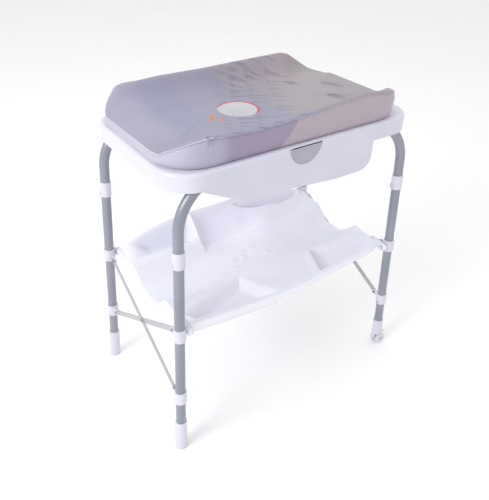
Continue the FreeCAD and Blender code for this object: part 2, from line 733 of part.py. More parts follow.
def castor(name, sx, sy):
    """Twin-wheel castor: stemmed body, axle, two wheels and a brake lever."""
    place = under_leg(sx, sy, S.castor_head_height)
    axle_x = S.castor_trail
    axle_z = S.wheel_diameter / 2
    head_top = S.castor_head_height - S.head_gap
    half_hood = S.hood_thickness / 2
    body = new_body(name + "_body")
    rod(body, S.stem_diameter / 2, S.stem_length - 1 + S.head_gap, (0, 0, head_top))
    rod(body, S.head_radius, S.head_height, (0, 0, head_top - S.head_height))
    rod(body, axle_z - S.wheel_edge, S.hood_thickness, (axle_x, -half_hood, axle_z), ALONG_Y)
    block(body, S.head_radius * 2, S.hood_thickness, head_top - axle_z, (-S.head_radius, -half_hood, axle_z))
    seat_z = axle_z * 2 + S.lever_gap
    pivot_z = seat_z + S.lever_knuckle
    block(body, S.lever_pivot_x - 0.5, S.lever_width, head_top - seat_z, (0, -S.lever_width / 2, seat_z))
    groove = S.lever_knuckle + S.lever_gap
    rod(body, groove, S.lever_width * 2, (S.lever_pivot_x, -S.lever_width, pivot_z), ALONG_Y, cut=True)
    bore = S.axle_diameter / 2
    rod(body, bore, S.hood_thickness * 2, (axle_x, -S.hood_thickness, axle_z), ALONG_Y, cut=True)
    keep(name + "_body", body, place)
    half_axle = S.wheel_space / 2 + S.wheel_width + S.axle_end
    axle = new_body(name + "_axle")
    rod(axle, S.axle_diameter / 2, half_axle * 2, (axle_x, -half_axle, axle_z), ALONG_Y)
    keep(name + "_axle", axle, place)
    for side, sign in (("front", -1), ("rear", 1)):
        wheel = new_body(f"{name}_{side}_wheel")
        low = S.wheel_space / 2 if sign > 0 else -(S.wheel_space / 2 + S.wheel_width)
        rod(wheel, axle_z, S.wheel_width, (axle_x, low, axle_z), ALONG_Y)
        soften(wheel, S.wheel_edge, lambda edge: is_circle(edge, axle_z.value))
        face = low + S.wheel_width - S.hub_recess if sign > 0 else low
        rod(wheel, axle_z * HUB_SHARE, S.hub_recess, (axle_x, face, axle_z), ALONG_Y, cut=True)
        bore = S.axle_diameter / 2 + S.axle_gap
        rod(wheel, bore, S.wheel_width, (axle_x, low, axle_z), ALONG_Y, cut=True)
        keep(f"{name}_{side}_wheel", wheel, place)
    lever = new_body(name + "_brake_lever")
    low_y = -S.lever_width / 2
    rod(lever, S.lever_knuckle, S.lever_width, (S.lever_pivot_x, low_y, pivot_z), ALONG_Y)
    lever_z = pivot_z + S.lever_knuckle - S.lever_thickness
    block(lever, S.lever_length, S.lever_width, S.lever_thickness, (S.lever_pivot_x, low_y, lever_z))
    keep(name + "_brake_lever", lever, place)


# ---------------------------------------------------------------- tub

def rail_y():
    """How far out each rail's axis lies."""
    return FOOT_HALF_Y - S.rail_height.value * TAN_LEAN


def basin_half_y():
    """Half width of the basin's mouth: it drops between the rails."""
    return dim(rail_y()) - tube_outer() - S.rail_space - S.tub_wall


def basin_sections(body, grow):
    """Mouth, shoulder and floor outlines of the basin, grown by a wall."""
    half = basin_half_y()
    shoulder_left = -(S.basin_half_x - S.shoulder_in + grow)
    shoulder_right = S.basin_half_x - S.shoulder_in / 2 + grow
    return [
        rounded_outline(body, -(S.basin_half_x + grow), S.basin_half_x + grow, half + grow,
                        S.basin_corner + grow, S.rim_top),
        rounded_outline(body, shoulder_left, shoulder_right, half - S.shoulder_in / 4 + grow,
                        S.basin_corner + grow, S.rim_top - S.shoulder_depth),
        rounded_outline(body, -(S.floor_left + grow), S.floor_right + grow, S.floor_half_y + grow,
                        S.basin_corner * 0.8 + grow, S.rim_top - S.basin_depth - (grow if grow else 0)),
    ]


def loft(body, sections, cut=False):
    feature = body.newObject("PartDesign::SubtractiveLoft" if cut else "PartDesign::AdditiveLoft", "Loft")
    feature.Profile = sections[0]
    feature.Sections = sections[1:]
    for sketch in sections:
        sketch.Visibility = False
    return feature


def apron(body, sign):
    """Deep middle of the skirt on one long side: its lower edge sinks towards the right."""
    skirt_low = S.rim_top - S.skirt_depth
    points = [
        (-S.apron_left, skirt_low + 1),
        (-S.apron_shoulder, S.rim_top - S.apron_shallow),
        (S.apron_middle, S.rim_top - S.apron_low),
        (S.apron_right, S.rim_top - S.apron_low + S.apron_lift),
        (S.apron_right, skirt_low + 1),
    ]
    out = S.rim_half_y - S.tub_wall if sign < 0 else -S.rim_half_y
    sketch = outline(body, "XZ_Plane", points, out)
    extrude(body, sketch, S.tub_wall)


def tub():
    """Bath tub: rim and skirt, deep aprons front and rear, a lofted basin and ribs on the rails."""
    body = new_body("tub")
    wall = S.tub_wall
    low = S.rim_top - S.skirt_depth
    block(body, S.rim_half_x * 2, S.rim_half_y * 2, S.skirt_depth, (-S.rim_half_x, -S.rim_half_y, low))
    soften(body, S.rim_corner, upright)
    soften(body, S.rim_edge, lambda edge: edge.BoundBox.ZMin > S.rim_top.value - 0.01)
    hollow(body, S.rim_half_x - wall, S.rim_half_y - wall, S.rim_corner - wall, low, S.skirt_depth - wall)
    for sign in DEPTH_SIDES.values():
        apron(body, sign)
    lowest = S.rim_top - S.apron_low
    shoulder = S.rim_top - S.apron_shallow
    soften(body, S.apron_corner, lambda edge: across_y(edge, S.apron_right, lowest + S.apron_lift))
    soften(body, S.shoulder_round, lambda edge: across_y(edge, -S.apron_shoulder, shoulder))
    soften(body, S.middle_round, lambda edge: across_y(edge, dim(S.apron_middle), lowest))
    loft(body, basin_sections(body, wall))
    rail_top = S.rail_height + tube_outer() + S.rail_seat_gap
    rib_depth = S.rim_half_y - wall / 2 - (basin_half_y() + wall / 2)
    for sign in DEPTH_SIDES.values():
        for place in RIB_PLACES:
            start_y = basin_half_y() + wall / 2 if sign > 0 else -(S.rim_half_y - wall / 2)
            block(body, S.rib_thickness, rib_depth, S.rim_top - wall / 2 - rail_top,
                  (S.rib_spacing * place - S.rib_thickness / 2, start_y, rail_top))
    loft(body, basin_sections(body, dim(0)), cut=True)
    drain_start = (S.drain_x, 0, S.rim_top - S.basin_depth - wall * 2)
    rod(body, S.drain_diameter / 2, S.basin_depth, drain_start, cut=True)
    rod(body, S.grip_radius, wall + 1, (S.grip_x, -S.rim_half_y - 1, S.rim_top), ALONG_Y, cut=True)
    keep("tub", body)


RIB_PLACES = (-1.5, -0.5, 0.5, 1.5)


def upright(edge):
    box = edge.BoundBox
    return box.XLength < 0.01 and box.YLength < 0.01


def across_y(edge, x, z):
    """Whether a straight edge runs along Y through the given x and z."""
    box = edge.BoundBox
    here = abs(box.XMin - x.value) < 0.1 and abs(box.ZMin - z.value) < 0.1
    return here and box.XLength < 0.01 and box.ZLength < 0.01 and box.YLength > 1


def hollow(body, half_x, half_y, radius, low, depth):
    """Hollows the rim out from below, leaving its top."""
    sketch = rounded_outline(body, -half_x, half_x, half_y, radius, low)
    pocket = extrude(body, sketch, depth, cut=True)
    pocket.Reversed = True
    return pocket


def grip_insert():
    """Half-round panel behind the grip recess of the front apron."""
    body = new_body("grip_insert")
    thickness = S.tub_wall - S.grip_depth
    rod(body, S.grip_radius, thickness, (S.grip_x, -S.rim_half_y + S.grip_depth, S.rim_top), ALONG_Y)
    block(body, S.grip_radius * 2, thickness, S.grip_radius + S.grip_edge,
          (S.grip_x - S.grip_radius, -S.rim_half_y + S.grip_depth, S.rim_top - S.grip_edge), cut=True)
    keep("grip_insert", body)


def drain():
    """Drain fitting in the basin floor and the plug that lifts out of it."""
    floor = S.rim_top - S.basin_depth
    fitting = new_body("drain_fitting")
    rod(fitting, S.drain_flange / 2, S.fitting_lip, (S.drain_x, 0, floor))
    rod(fitting, S.drain_diameter / 2, S.fitting_drop, (S.drain_x, 0, floor - S.fitting_drop))
    bore = S.drain_diameter / 2 - S.tub_wall
    rod(fitting, bore, S.fitting_drop * 2 + 10, (S.drain_x, 0, floor - S.fitting_drop - 5), cut=True)
    keep("drain_fitting", fitting)
    plug = new_body("drain_plug")
    rod(plug, bore - S.drain_gap, S.fitting_lip * 3, (0, 0, -S.fitting_lip))
    rod(plug, bore + S.fitting_lip, S.fitting_lip, (0, 0, S.drain_gap + S.fitting_lip))
    ring = solid(plug, "AdditiveTorus", {"Radius1": S.ring_radius, "Radius2": S.ring_section})
    ring_z = S.fitting_lip * 2 + S.drain_gap + S.ring_radius - S.ring_sink
    ring.Placement = shift(z=ring_z.value) * turn(X_AXIS, 90)
    keep("drain_plug", plug, shift(S.drain_x.value, 0, floor.value))


# ---------------------------------------------------------------- mat and its hinges

def hinge_axis():
    return S.rim_half_y + S.hinge_setback, S.rim_top + S.board_gap + S.board_thickness / 2


def mat_board():
    """Stiff board under the mat, with the arms and knuckles of its hinges."""
    body = new_body("mat_board")
    low = S.rim_top + S.board_gap
    inset = S.mat_half_y - S.board_inset
    block(body, (S.mat_half_x - S.board_inset) * 2, inset * 2, S.board_thickness,
          (S.mat_x - S.mat_half_x + S.board_inset, -inset, low))
    soften(body, S.mat_corner, upright)
    axis_y, axis_z = hinge_axis()
    knuckle = S.hinge_width - (S.ear_width * 2 + S.hinge_gap * 2)
    for sign in WIDTH_SIDES.values():
        start = S.hinge_x * sign - knuckle / 2
        block(body, knuckle, axis_y - inset + 5, S.board_thickness, (start, inset - 5, low))
        rod(body, S.board_thickness / 2 + S.knuckle_extra, knuckle, (start, axis_y, axis_z), ALONG_X)
    for sign in WIDTH_SIDES.values():
        start = S.hinge_x * sign - knuckle
        rod(body, S.hinge_pin / 2 + S.axle_gap, knuckle * 2, (start, axis_y, axis_z), ALONG_X, cut=True)
    keep("mat_board", body)


def hinge_brackets():
    """Two-eared brackets on the back of the tub's skirt, one object for each hinge."""
    axis_y, axis_z = hinge_axis()
    back = S.rim_half_y
    for name, sign in WIDTH_SIDES.items():
        body = new_body(f"{name}_hinge_bracket")
        start = S.hinge_x * sign - S.hinge_width / 2
        low = S.rim_top - S.skirt_depth + S.base_thickness * 2
        base_top = S.rim_top - S.rim_edge
        block(body, S.hinge_width, S.base_thickness, base_top - low, (start, back, low))
        for ear in (start, start + S.hinge_width - S.ear_width):
            reach = S.hinge_setback + S.hinge_ear_radius - S.ear_setback
            block(body, S.ear_width, reach, axis_z - base_top + S.ear_drop / 2,
                  (ear, back + S.ear_setback, base_top - S.ear_drop / 2))
            rod(body, S.hinge_ear_radius, S.ear_width, (ear, axis_y, axis_z), ALONG_X)
        bore_start = start - S.hinge_width / 2
        rod(body, S.hinge_pin / 2, S.hinge_width * 2, (bore_start, axis_y, axis_z), ALONG_X, cut=True)
        keep(f"{name}_hinge_bracket", body)
        pin = new_body(f"{name}_hinge_pin")
        rod(pin, S.hinge_pin / 2, S.hinge_width, (start, axis_y, axis_z), ALONG_X)
        for head in (start - S.pin_head, start + S.hinge_width):
            rod(pin, S.hinge_pin / 2 + S.pin_head / 2, S.pin_head, (head, axis_y, axis_z), ALONG_X)
        keep(f"{name}_hinge_pin", pin)


def mat_pad():
    """Soft mat: low in the middle, with a raised side front and rear that drops at the ends."""
    body = new_body("mat_pad")
    low = S.rim_top + S.board_gap + S.board_thickness
    block(body, S.mat_half_x * 2, S.mat_half_y * 2, S.bolster_height,
          (S.mat_x - S.mat_half_x, -S.mat_half_y, low))
    soften(body, S.mat_corner, upright)
    crest = S.mat_half_y - S.bolster_flat
    foot = S.mat_half_y - S.bolster_foot
    top = low + S.bolster_height
    valley = low + S.pad_thickness
    hollow = outline(body, "YZ_Plane", [(-foot, valley), (foot, valley), (crest, top + 1), (-crest, top + 1)])
    extrude(body, hollow, S.mat_half_x * 2 + 10, cut=True, both_ways=True)
    for sign in WIDTH_SIDES.values():
        far = (S.mat_half_x + 10) * sign + S.mat_x
        near = (S.mat_half_x - (S.bolster_end if sign < 0 else S.right_end_length)) * sign + S.mat_x
        end_z = valley if sign < 0 else valley + S.right_end_rise
        slope = [(near, top + 1), (far, end_z), (far, top + 1)]
        wedge = outline(body, "XZ_Plane", slope)
        extrude(body, wedge, S.mat_half_y * 2 + 10, cut=True, both_ways=True)
    keep("mat_pad", body)


# ---------------------------------------------------------------- tray

def smooth(value, low, high):
    """0 below low, 1 above high and an even S-curve between."""
    share = min(1.0, max(0.0, (value - low) / (high - low)))
    return share * share * (3 - 2 * share)


def tray_height(x, y):
    """Top surface of the tray: a saddle between four arms, with a sloping trough at each corner."""
    along = min(1.0, abs(x) / S.tray_half_x.value)
    across = min(1.0, abs(y) / S.tray_half_y.value)
    arm_rise = S.tray_arm_height.value - S.tray_floor.value
    height = S.tray_floor.value
    height += arm_rise * along ** 1.5 * smooth(across, 0.18, 0.52)
    edge_rise = S.tray_back_rise.value if y > 0 else S.tray_front_rise.value
    height += edge_rise * (1 - along ** 2.4) * smooth(across, 0.45, 1.0)
    trough = smooth(across, 0.46, 0.74) * (1 - smooth(across, 0.86, 1.0))
    taper = 1 - max(0.0, along - 0.26) / 0.74
    height -= S.tray_pocket_depth.value * trough * taper * smooth(along, 0.17, 0.27)
    return height


def tray_point(along, across):
    """A point of the tray's top for plan coordinates from -1 to 1."""
    reach_x = S.tray_half_x.value - TRAY_SIDE_BOW * (1 - across ** 4)
    reach_y = S.tray_half_y.value - TRAY_LONG_BOW * (1 - along ** 6)
    x, y = along * reach_x, across * reach_y
    return Vector(x, y, tray_height(x, y))


TRAY_SIDE_BOW = 4.0
TRAY_LONG_BOW = -8.0
TRAY_COLUMNS = 49
TRAY_ROWS = 33


def grid_face(points):
    surface = Part.BSplineSurface()
    surface.interpolate(points)
    return surface.toShape()


def tray_shell():
    """The tray's wall as a solid between its top surface and the same surface, one wall lower."""
    top, bottom = [], []
    for row in range(TRAY_ROWS):
        across = -1 + 2 * row / (TRAY_ROWS - 1)
        line = [tray_point(-1 + 2 * i / (TRAY_COLUMNS - 1), across) for i in range(TRAY_COLUMNS)]
        top.append(line)
        bottom.append([point - Z_AXIS * S.tray_thickness.value for point in line])
    upper, lower = grid_face(top), grid_face(bottom)
    faces = [upper, lower]
    for edge, below in zip(upper.Edges, lower.Edges):
        faces.append(Part.makeRuledSurface(edge, below))
    shell = Part.Shell(faces)
    shell.sewShape()
    return Part.Solid(shell)


def tray_hook(sx, sy):
    """A hook that drops over its peg, joined to the tray's corner by a short arm."""
    place = on_leg(sx, sy, S.tray_collar_height.value)
    peg = place.multVec(Vector())
    bore = S.peg_diameter.value / 2 + S.hook_gap.value
    outer = bore + S.hook_wall.value
    near = S.tube_diameter.value / 2 + S.clamp_collar_wall.value + HOOK_CLEAR
    far = near + S.hook_width.value
    eye = Part.makeCylinder(outer, S.hook_width.value, Vector(-far if sx > 0 else near), X_AXIS)
    eye.Placement = place * eye.Placement
    arm_x = sorted((sx * (abs(peg.x) - far - ARM_WIDTH / 2), sx * (abs(peg.x) - near - HOOK_CLEAR)))
    arm_y = sorted((sy * (S.tray_half_y.value - ARM_OVERLAP), sy * abs(peg.y)))
    top = S.tray_arm_height.value
    arm = Part.makeBox(arm_x[1] - arm_x[0], arm_y[1] - arm_y[0], ARM_THICKNESS,
                       Vector(arm_x[0], arm_y[0], top - ARM_THICKNESS / 2))
    hole = Part.makeCylinder(bore, S.hook_width.value * 3, Vector(-far * 1.5, 0, 0), X_AXIS)
    if sx < 0:
        hole = Part.makeCylinder(bore, S.hook_width.value * 3, Vector(0, 0, 0), X_AXIS)
    hole.Placement = place * hole.Placement
    slot = Part.makeBox(far * 2, bore * 2, outer * 2, Vector(peg.x - far, peg.y - bore, peg.z - outer * 2))
    return eye.fuse(arm).cut(hole).cut(slot)


HOOK_CLEAR = 2.5
ARM_OVERLAP = 28.0
ARM_WIDTH = 24.0
ARM_THICKNESS = 8.0


def tray():
    """Moulded tray with a hook at each corner."""
    shape = tray_shell()
    if shape.Volume < 0:
        shape.reverse()
    hooks = [tray_hook(sx, sy) for _, sx, sy in legs()]
    body = doc.addObject("Part::Feature", "tray")
    body.Shape = shape.fuse(hooks)
    keep("tray", body)


# ---------------------------------------------------------------- the whole stand

for depth, sy in DEPTH_SIDES.items():
    top_tube(f"{depth}_top_tube", sy)

for leg, sx, sy in legs():
    leg_tube(leg + "_leg", sx, sy)
    spigot(leg + "_spigot", sx, sy)
    joint_collar(leg + "_joint_collar", sx, sy)
    push_button(leg + "_push_button", sx, sy)
    bar_outside = sy < 0
    clamp_collar(leg + "_brace_collar", sx, sy, S.brace_collar_height, S.ear_rise, bar_outside, False)
    clamp_collar(leg + "_tray_collar", sx, sy, S.tray_collar_height, -S.ear_rise, not bar_outside, True)
    if sx < 0:
        plain_foot(leg, sx, sy)
    else:
        castor_sleeve(leg + "_castor_sleeve", sx, sy)
        castor(leg + "_castor", sx, sy)

for width, sx in WIDTH_SIDES.items():
    brace(f"{width}_outer_brace", sx, True, True)
    brace(f"{width}_inner_brace", sx, False, False)
brace_rivets()
collar_screws()

tub()
grip_insert()
drain()
mat_board()
hinge_brackets()
mat_pad()
tray()

doc.recompute()
for label, obj in PARTS.items():
    broken = {"Invalid", "Error"} & set(obj.State)
    if broken or obj.Shape.isNull() or not obj.Shape.isValid():
        print("cannot export", label, obj.State)
        sys.exit(1)

os.makedirs("parts", exist_ok=True)
for label, obj in PARTS.items():
    obj.Shape.exportStep(f"parts/{label}.step")
print(len(PARTS), "sub-parts")
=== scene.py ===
"""Baby changing table: materials, the padded mat, the tray, light and camera round the CAD frame.

Metres in the row frame: +X to the castors, -Y to the front, +Z up.
"""
import json
import math

import bmesh
import bpy
import numpy as np
from mathutils import Matrix, Vector


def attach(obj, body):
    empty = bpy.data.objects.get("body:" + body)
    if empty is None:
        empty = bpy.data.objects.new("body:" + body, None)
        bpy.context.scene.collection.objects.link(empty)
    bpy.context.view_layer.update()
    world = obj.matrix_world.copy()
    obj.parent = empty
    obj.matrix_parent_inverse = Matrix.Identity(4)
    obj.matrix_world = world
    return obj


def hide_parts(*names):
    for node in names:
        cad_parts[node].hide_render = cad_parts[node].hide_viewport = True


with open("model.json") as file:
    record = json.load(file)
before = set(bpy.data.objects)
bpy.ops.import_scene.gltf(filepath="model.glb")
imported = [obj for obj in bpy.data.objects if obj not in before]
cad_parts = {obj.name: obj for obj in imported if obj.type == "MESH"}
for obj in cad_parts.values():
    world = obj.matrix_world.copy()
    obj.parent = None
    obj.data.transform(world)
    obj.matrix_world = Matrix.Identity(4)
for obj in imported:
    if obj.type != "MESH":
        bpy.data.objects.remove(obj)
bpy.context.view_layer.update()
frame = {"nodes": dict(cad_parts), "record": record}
nodes = frame["nodes"]

scene = bpy.context.scene


# ---------------------------------------------------------------- node building

def linear(*rgb):
    """sRGB 0-255 to a linear colour."""
    out = []
    for value in rgb:
        value /= 255
        out.append(value / 12.92 if value <= 0.04045 else ((value + 0.055) / 1.055) ** 2.4)
    return (*out, 1.0)


class Flow:
    """A number in a node tree; arithmetic on it adds Math nodes."""

    def __init__(self, tree, socket):
        self.tree = tree
        self.socket = socket

    def feed(self, value, socket):
        if isinstance(value, Flow):
            self.tree.links.new(value.socket, socket)
        else:
            socket.default_value = value

    def math(self, operation, *others):
        node = self.tree.nodes.new("ShaderNodeMath")
        node.operation = operation
        for slot, value in enumerate((self, *others)):
            self.feed(value, node.inputs[slot])
        return Flow(self.tree, node.outputs[0])

    def __add__(self, other):
        return self.math("ADD", other)

    def __sub__(self, other):
        return self.math("SUBTRACT", other)

    def __mul__(self, other):
        return self.math("MULTIPLY", other)

    def __truediv__(self, other):
        return self.math("DIVIDE", other)

    def abs(self):
        return self.math("ABSOLUTE")

    def max(self, other):
        return self.math("MAXIMUM", other)

    def min(self, other):
        return self.math("MINIMUM", other)

    def step(self, low, high):
        """0 at low and 1 at high, smooth between; low may be above high."""
        node = self.tree.nodes.new("ShaderNodeMapRange")
        node.interpolation_type = "SMOOTHSTEP"
        for name, value in (("Value", self), ("From Min", low), ("From Max", high)):
            self.feed(value, node.inputs[name])
        return Flow(self.tree, node.outputs[0])


class Paint:
    """One procedural material on a Principled shader."""

    def __init__(self, name, **settings):
        self.material = bpy.data.materials.new(name)
        self.material.use_nodes = True
        self.tree = self.material.node_tree
        self.shader = self.tree.nodes["Principled BSDF"]
        self.coordinates = self.tree.nodes.new("ShaderNodeTexCoord").outputs["Object"]
        self.normal = None
        for socket, value in settings.items():
            self.shader.inputs[socket.replace("_", " ")].default_value = value

    def split(self):
        """The object's own X, Y and Z."""
        node = self.tree.nodes.new("ShaderNodeSeparateXYZ")
        self.tree.links.new(self.coordinates, node.inputs[0])
        return [Flow(self.tree, node.outputs[i]) for i in range(3)]

    def attribute(self, name):
        node = self.tree.nodes.new("ShaderNodeAttribute")
        node.attribute_name = name
        return Flow(self.tree, node.outputs["Fac"])

    def noise(self, scale, detail=3.0, roughness=0.5, stretch=None):
        node = self.tree.nodes.new("ShaderNodeTexNoise")
        node.inputs["Scale"].default_value = scale
        node.inputs["Detail"].default_value = detail
        node.inputs["Roughness"].default_value = roughness
        source = self.coordinates
        if stretch:
            mapping = self.tree.nodes.new("ShaderNodeMapping")
            mapping.inputs["Scale"].default_value = stretch
            self.tree.links.new(source, mapping.inputs["Vector"])
            source = mapping.outputs[0]
        self.tree.links.new(source, node.inputs["Vector"])
        return Flow(self.tree, node.outputs["Fac"])

    def random(self, at):
        """A fixed random number for each whole value of at."""
        node = self.tree.nodes.new("ShaderNodeTexWhiteNoise")
        node.noise_dimensions = "1D"
        self.tree.links.new(at.socket, node.inputs["W"])
        return Flow(self.tree, node.outputs["Value"])

    def mix(self, share, a, b):
        """Colour a where share is 0 and b where it is 1."""
        node = self.tree.nodes.new("ShaderNodeMix")
        node.data_type = "RGBA"
        sockets = [s for s in node.inputs if s.enabled]
        for socket, value in zip(sockets, (share, a, b)):
            if isinstance(value, Flow):
                self.tree.links.new(value.socket, socket)
            elif isinstance(value, bpy.types.NodeSocket):
                self.tree.links.new(value, socket)
            else:
                socket.default_value = value
        return next(s for s in node.outputs if s.enabled)

    def colour(self, value):
        self.tree.links.new(value, self.shader.inputs["Base Color"])

    def roughness(self, flow):
        self.tree.links.new(flow.socket, self.shader.inputs["Roughness"])

    def bump(self, flow, distance, strength):
        """Adds a layer of relief on top of the earlier ones."""
        node = self.tree.nodes.new("ShaderNodeBump")
        node.inputs["Strength"].default_value = strength
        node.inputs["Distance"].default_value = distance
        self.tree.links.new(flow.socket, node.inputs["Height"])
        if self.normal:
            self.tree.links.new(self.normal, node.inputs["Normal"])
        self.normal = node.outputs[0]
        self.tree.links.new(self.normal, self.shader.inputs["Normal"])


# ---------------------------------------------------------------- plain materials

def moulded(name, light, dark, rough, coat=0.0):
    """Injection-moulded plastic: a fine grain, faint mottling and a roughness that wanders."""
    paint = Paint(name, Roughness=rough, Coat_Weight=coat, Coat_Roughness=0.25)
    mottling = paint.noise(7.0, 4.0).step(0.3, 0.7)
    paint.colour(paint.mix(mottling, light, dark))
    paint.roughness(paint.noise(26.0, 5.0) * 0.16 + (rough - 0.08))
    paint.bump(paint.noise(900.0, 2.0), 0.00004, 0.6)
    paint.bump(paint.noise(9.0, 2.0), 0.0006, 0.25)
    return paint.material


def tube_coat():
    """Satin powder coat: orange peel, a fine metallic speck and faint wear."""
    paint = Paint("tube_coat", Metallic=0.25, Coat_Weight=0.15, Coat_Roughness=0.3)
    cloud = paint.noise(5.0, 3.0).step(0.3, 0.7)
    base = paint.mix(cloud, linear(146, 148, 160), linear(137, 140, 153))
    speck = paint.noise(2600.0, 1.0).step(0.62, 0.78) * 0.22
    base = paint.mix(speck, base, linear(206, 209, 220))
    scuff = paint.noise(60.0, 6.0, 0.7, stretch=(1, 1, 0.12)).step(0.64, 0.8) * 0.18
    paint.colour(paint.mix(scuff, base, linear(182, 182, 188)))
    paint.roughness(paint.noise(40.0, 4.0) * 0.12 + 0.25)
    paint.bump(paint.noise(420.0, 2.0), 0.00012, 0.35)
    return paint.material


def plated():
    """Dull plated steel with a fine grain."""
    paint = Paint("plated_steel", Metallic=0.9)
    paint.colour(paint.mix(paint.noise(90.0, 4.0), linear(170, 171, 175), linear(140, 142, 148)))
    paint.roughness(paint.noise(200.0, 4.0) * 0.2 + 0.28)
    paint.bump(paint.noise(1500.0, 2.0), 0.00004, 0.5)
    return paint.material


def rubber():
    """Pale moulded rubber, matt and slightly rough."""
    paint = Paint("foot_rubber", Roughness=0.75)
    paint.colour(paint.mix(paint.noise(60.0, 4.0), linear(206, 206, 212), linear(188, 188, 196)))
    paint.bump(paint.noise(700.0, 3.0), 0.0001, 0.6)
    return paint.material


# ---------------------------------------------------------------- the mat's printed cover

MIST = linear(127, 127, 147)
DEEP = linear(110, 110, 131)

TORN_SLANT = 0.36       # how far the edge between the two washes moves along X towards the rear

# Unit direction up the printed hill, in the mat's X and Y; the rows of trees run across it.
HILL_UP = (0.88, -0.47)

# Spacing, foot and height of the trees, their width for their height, seed, strength, colour.
SPRUCE_ROWS = (
    (0.021, -0.100, 0.060, 0.22, 3.0, 0.60, MIST),
    (0.024, -0.060, 0.066, 0.20, 11.0, 0.70, DEEP),
    (0.027, -0.012, 0.066, 0.19, 23.0, 0.65, DEEP),
    (0.034, 0.055, 0.070, 0.15, 31.0, 0.60, DEEP),
)
TREE_SHIFT = 0.45       # how far a tree strays from its place, as a share of the spacing
TREE_TIERS = 5.0        # whorls of branches on a tree
TREE_EDGE = 0.0010

# Place in X and Y, half length and half width of each printed leaf.
DRIFTING_LEAVES = (
    (0.190, 0.092, 0.029, 0.012),
    (0.282, 0.015, 0.040, 0.015),
    (0.227, -0.068, 0.031, 0.013),
)
DRIFTING_AIM = (0.45, -0.89)
BRIGHT_LEAVES = (
    (-0.161, -0.020, 0.024, 0.0065),
    (-0.146, -0.043, 0.014, 0.0055),
)
BRIGHT_AIM = (0.59, 0.81)

DISC_X, DISC_Y = -0.068, -0.002
DISC_RADIUS = 0.0555
ARC_WIDTH = 0.0035      # half the width of the arc round part of the disc

PANEL_FOOT_X = -0.083   # where two colours of the front wall meet, at the wall's foot
PANEL_FOOT_Z = 0.883
PANEL_SLANT = 0.82      # how far that seam moves along X as it rises


def spruces(paint, u, v, spacing, foot, height, slender, seed, ragged):
    """A row of spruce silhouettes, 1 inside a tree: u runs along the row and v up the trees."""
    place = u / spacing + seed
    cell = place.math("FLOOR")
    chance = paint.random(cell)
    other = paint.random(cell + 57.3)
    across = (place.math("FRACT") - 0.5 + (other - 0.5) * TREE_SHIFT) * spacing
    tall = chance * (height * 0.55) + height * 0.5
    down = (tall + foot - v) / tall
    tier = (down * TREE_TIERS + other).math("FRACT") * 0.5 + 0.5
    reach = (down * tier).min(0.9) * tall * slender
    inside = (reach - across.abs() + ragged).step(-TREE_EDGE, TREE_EDGE)
    return inside * down.step(0.0, 0.03) * down.step(1.25, 0.95)


def leaf_depth(x, y, at_x, at_y, aim, half, thick, sway=0.0):
    """How far a point lies inside a leaf that points along aim; sway bends the leaf."""
    dx, dy = x - at_x, y - at_y
    share = (dx * aim[0] + dy * aim[1]) / half
    across = dy * aim[0] - dx * aim[1]
    return (share * share * -1.0 + 1.0) * thick - (across + sway).abs()


def colour_fields(paint, x, y, wash, fine):
    """Misty washes, blue to the left and mauve to the right of a torn edge.

    Gives the colour and the distance past the torn edge.
    """
    drift = x + wash * 0.10
    field = paint.mix(drift.step(-0.33, -0.24), linear(153, 150, 169), linear(140, 140, 163))
    field = paint.mix((drift + y * 0.25).step(-0.18, -0.10), field, linear(142, 140, 159))
    field = paint.mix((y + wash * 0.12).step(-0.02, -0.13), field, linear(144, 142, 161))
    back = paint.mix((y + wash * 0.1).step(0.02, 0.16), linear(148, 143, 150), linear(155, 144, 151))
    back = paint.mix((x + wash * 0.1).step(0.20, 0.33), back, linear(144, 139, 144))
    torn = x + y.max(0.0) * TORN_SLANT
    past = (torn + wash * 0.05 + fine * 0.015).step(0.025, 0.052)
    return paint.mix(past, field, back), torn


def forest(paint, top, x, y, fine, torn):
    """Rows of spruces on a misty hill."""
    up = x * HILL_UP[0] + y * HILL_UP[1]
    along = x * -HILL_UP[1] + y * HILL_UP[0]
    ground = (up + fine * 0.02).step(0.075, 0.035) * (torn + fine * 0.03).step(-0.05, 0.03) * 0.30
    top = paint.mix(ground, top, MIST)
    needles = paint.noise(230.0, 2.0).step(0.36, 0.52) * 0.75 + 0.25
    ragged = (paint.noise(150.0, 3.0) - 0.5) * 0.010
    for spacing, foot, height, slender, seed, strength, shade in SPRUCE_ROWS:
        row = spruces(paint, along, up, spacing, foot, height, slender, seed, ragged)
        top = paint.mix(row * needles * strength, top, shade)
    return top


def disc_and_leaves(paint, top, x, y, wash, fine):
    """A pale disc with an arc round part of it, and leaves in two sizes."""
    for at_x, at_y, half, thick in DRIFTING_LEAVES:
        inside = leaf_depth(x, y, at_x, at_y, DRIFTING_AIM, half, thick, fine * 0.010) + fine * 0.006
        top = paint.mix(inside.step(-0.0008, 0.0008) * 0.7, top, linear(112, 108, 120))
    dx, dy = x - DISC_X, y - DISC_Y
    radius = (dx * dx + dy * dy).math("SQRT")
    disc = (radius + fine * 0.002).step(DISC_RADIUS + 0.0010, DISC_RADIUS - 0.0005)
    disc_colour = paint.mix(wash.step(-0.2, 0.2), linear(190, 189, 193), linear(175, 175, 182))
    top = paint.mix(disc, top, disc_colour)
    on_arc = (radius - DISC_RADIUS).abs().step(ARC_WIDTH + 0.0005, ARC_WIDTH - 0.0005)
    upper_right = (dx * 0.8 + dy * 0.6).step(-0.012, 0.000)
    top = paint.mix(on_arc * upper_right, top, linear(185, 67, 79))
    for at_x, at_y, half, thick in BRIGHT_LEAVES:
        inside = leaf_depth(x, y, at_x, at_y, BRIGHT_AIM, half, thick)
        top = paint.mix(inside.step(-0.0006, 0.0006) * 0.9, top, linear(196, 113, 70))
    return top


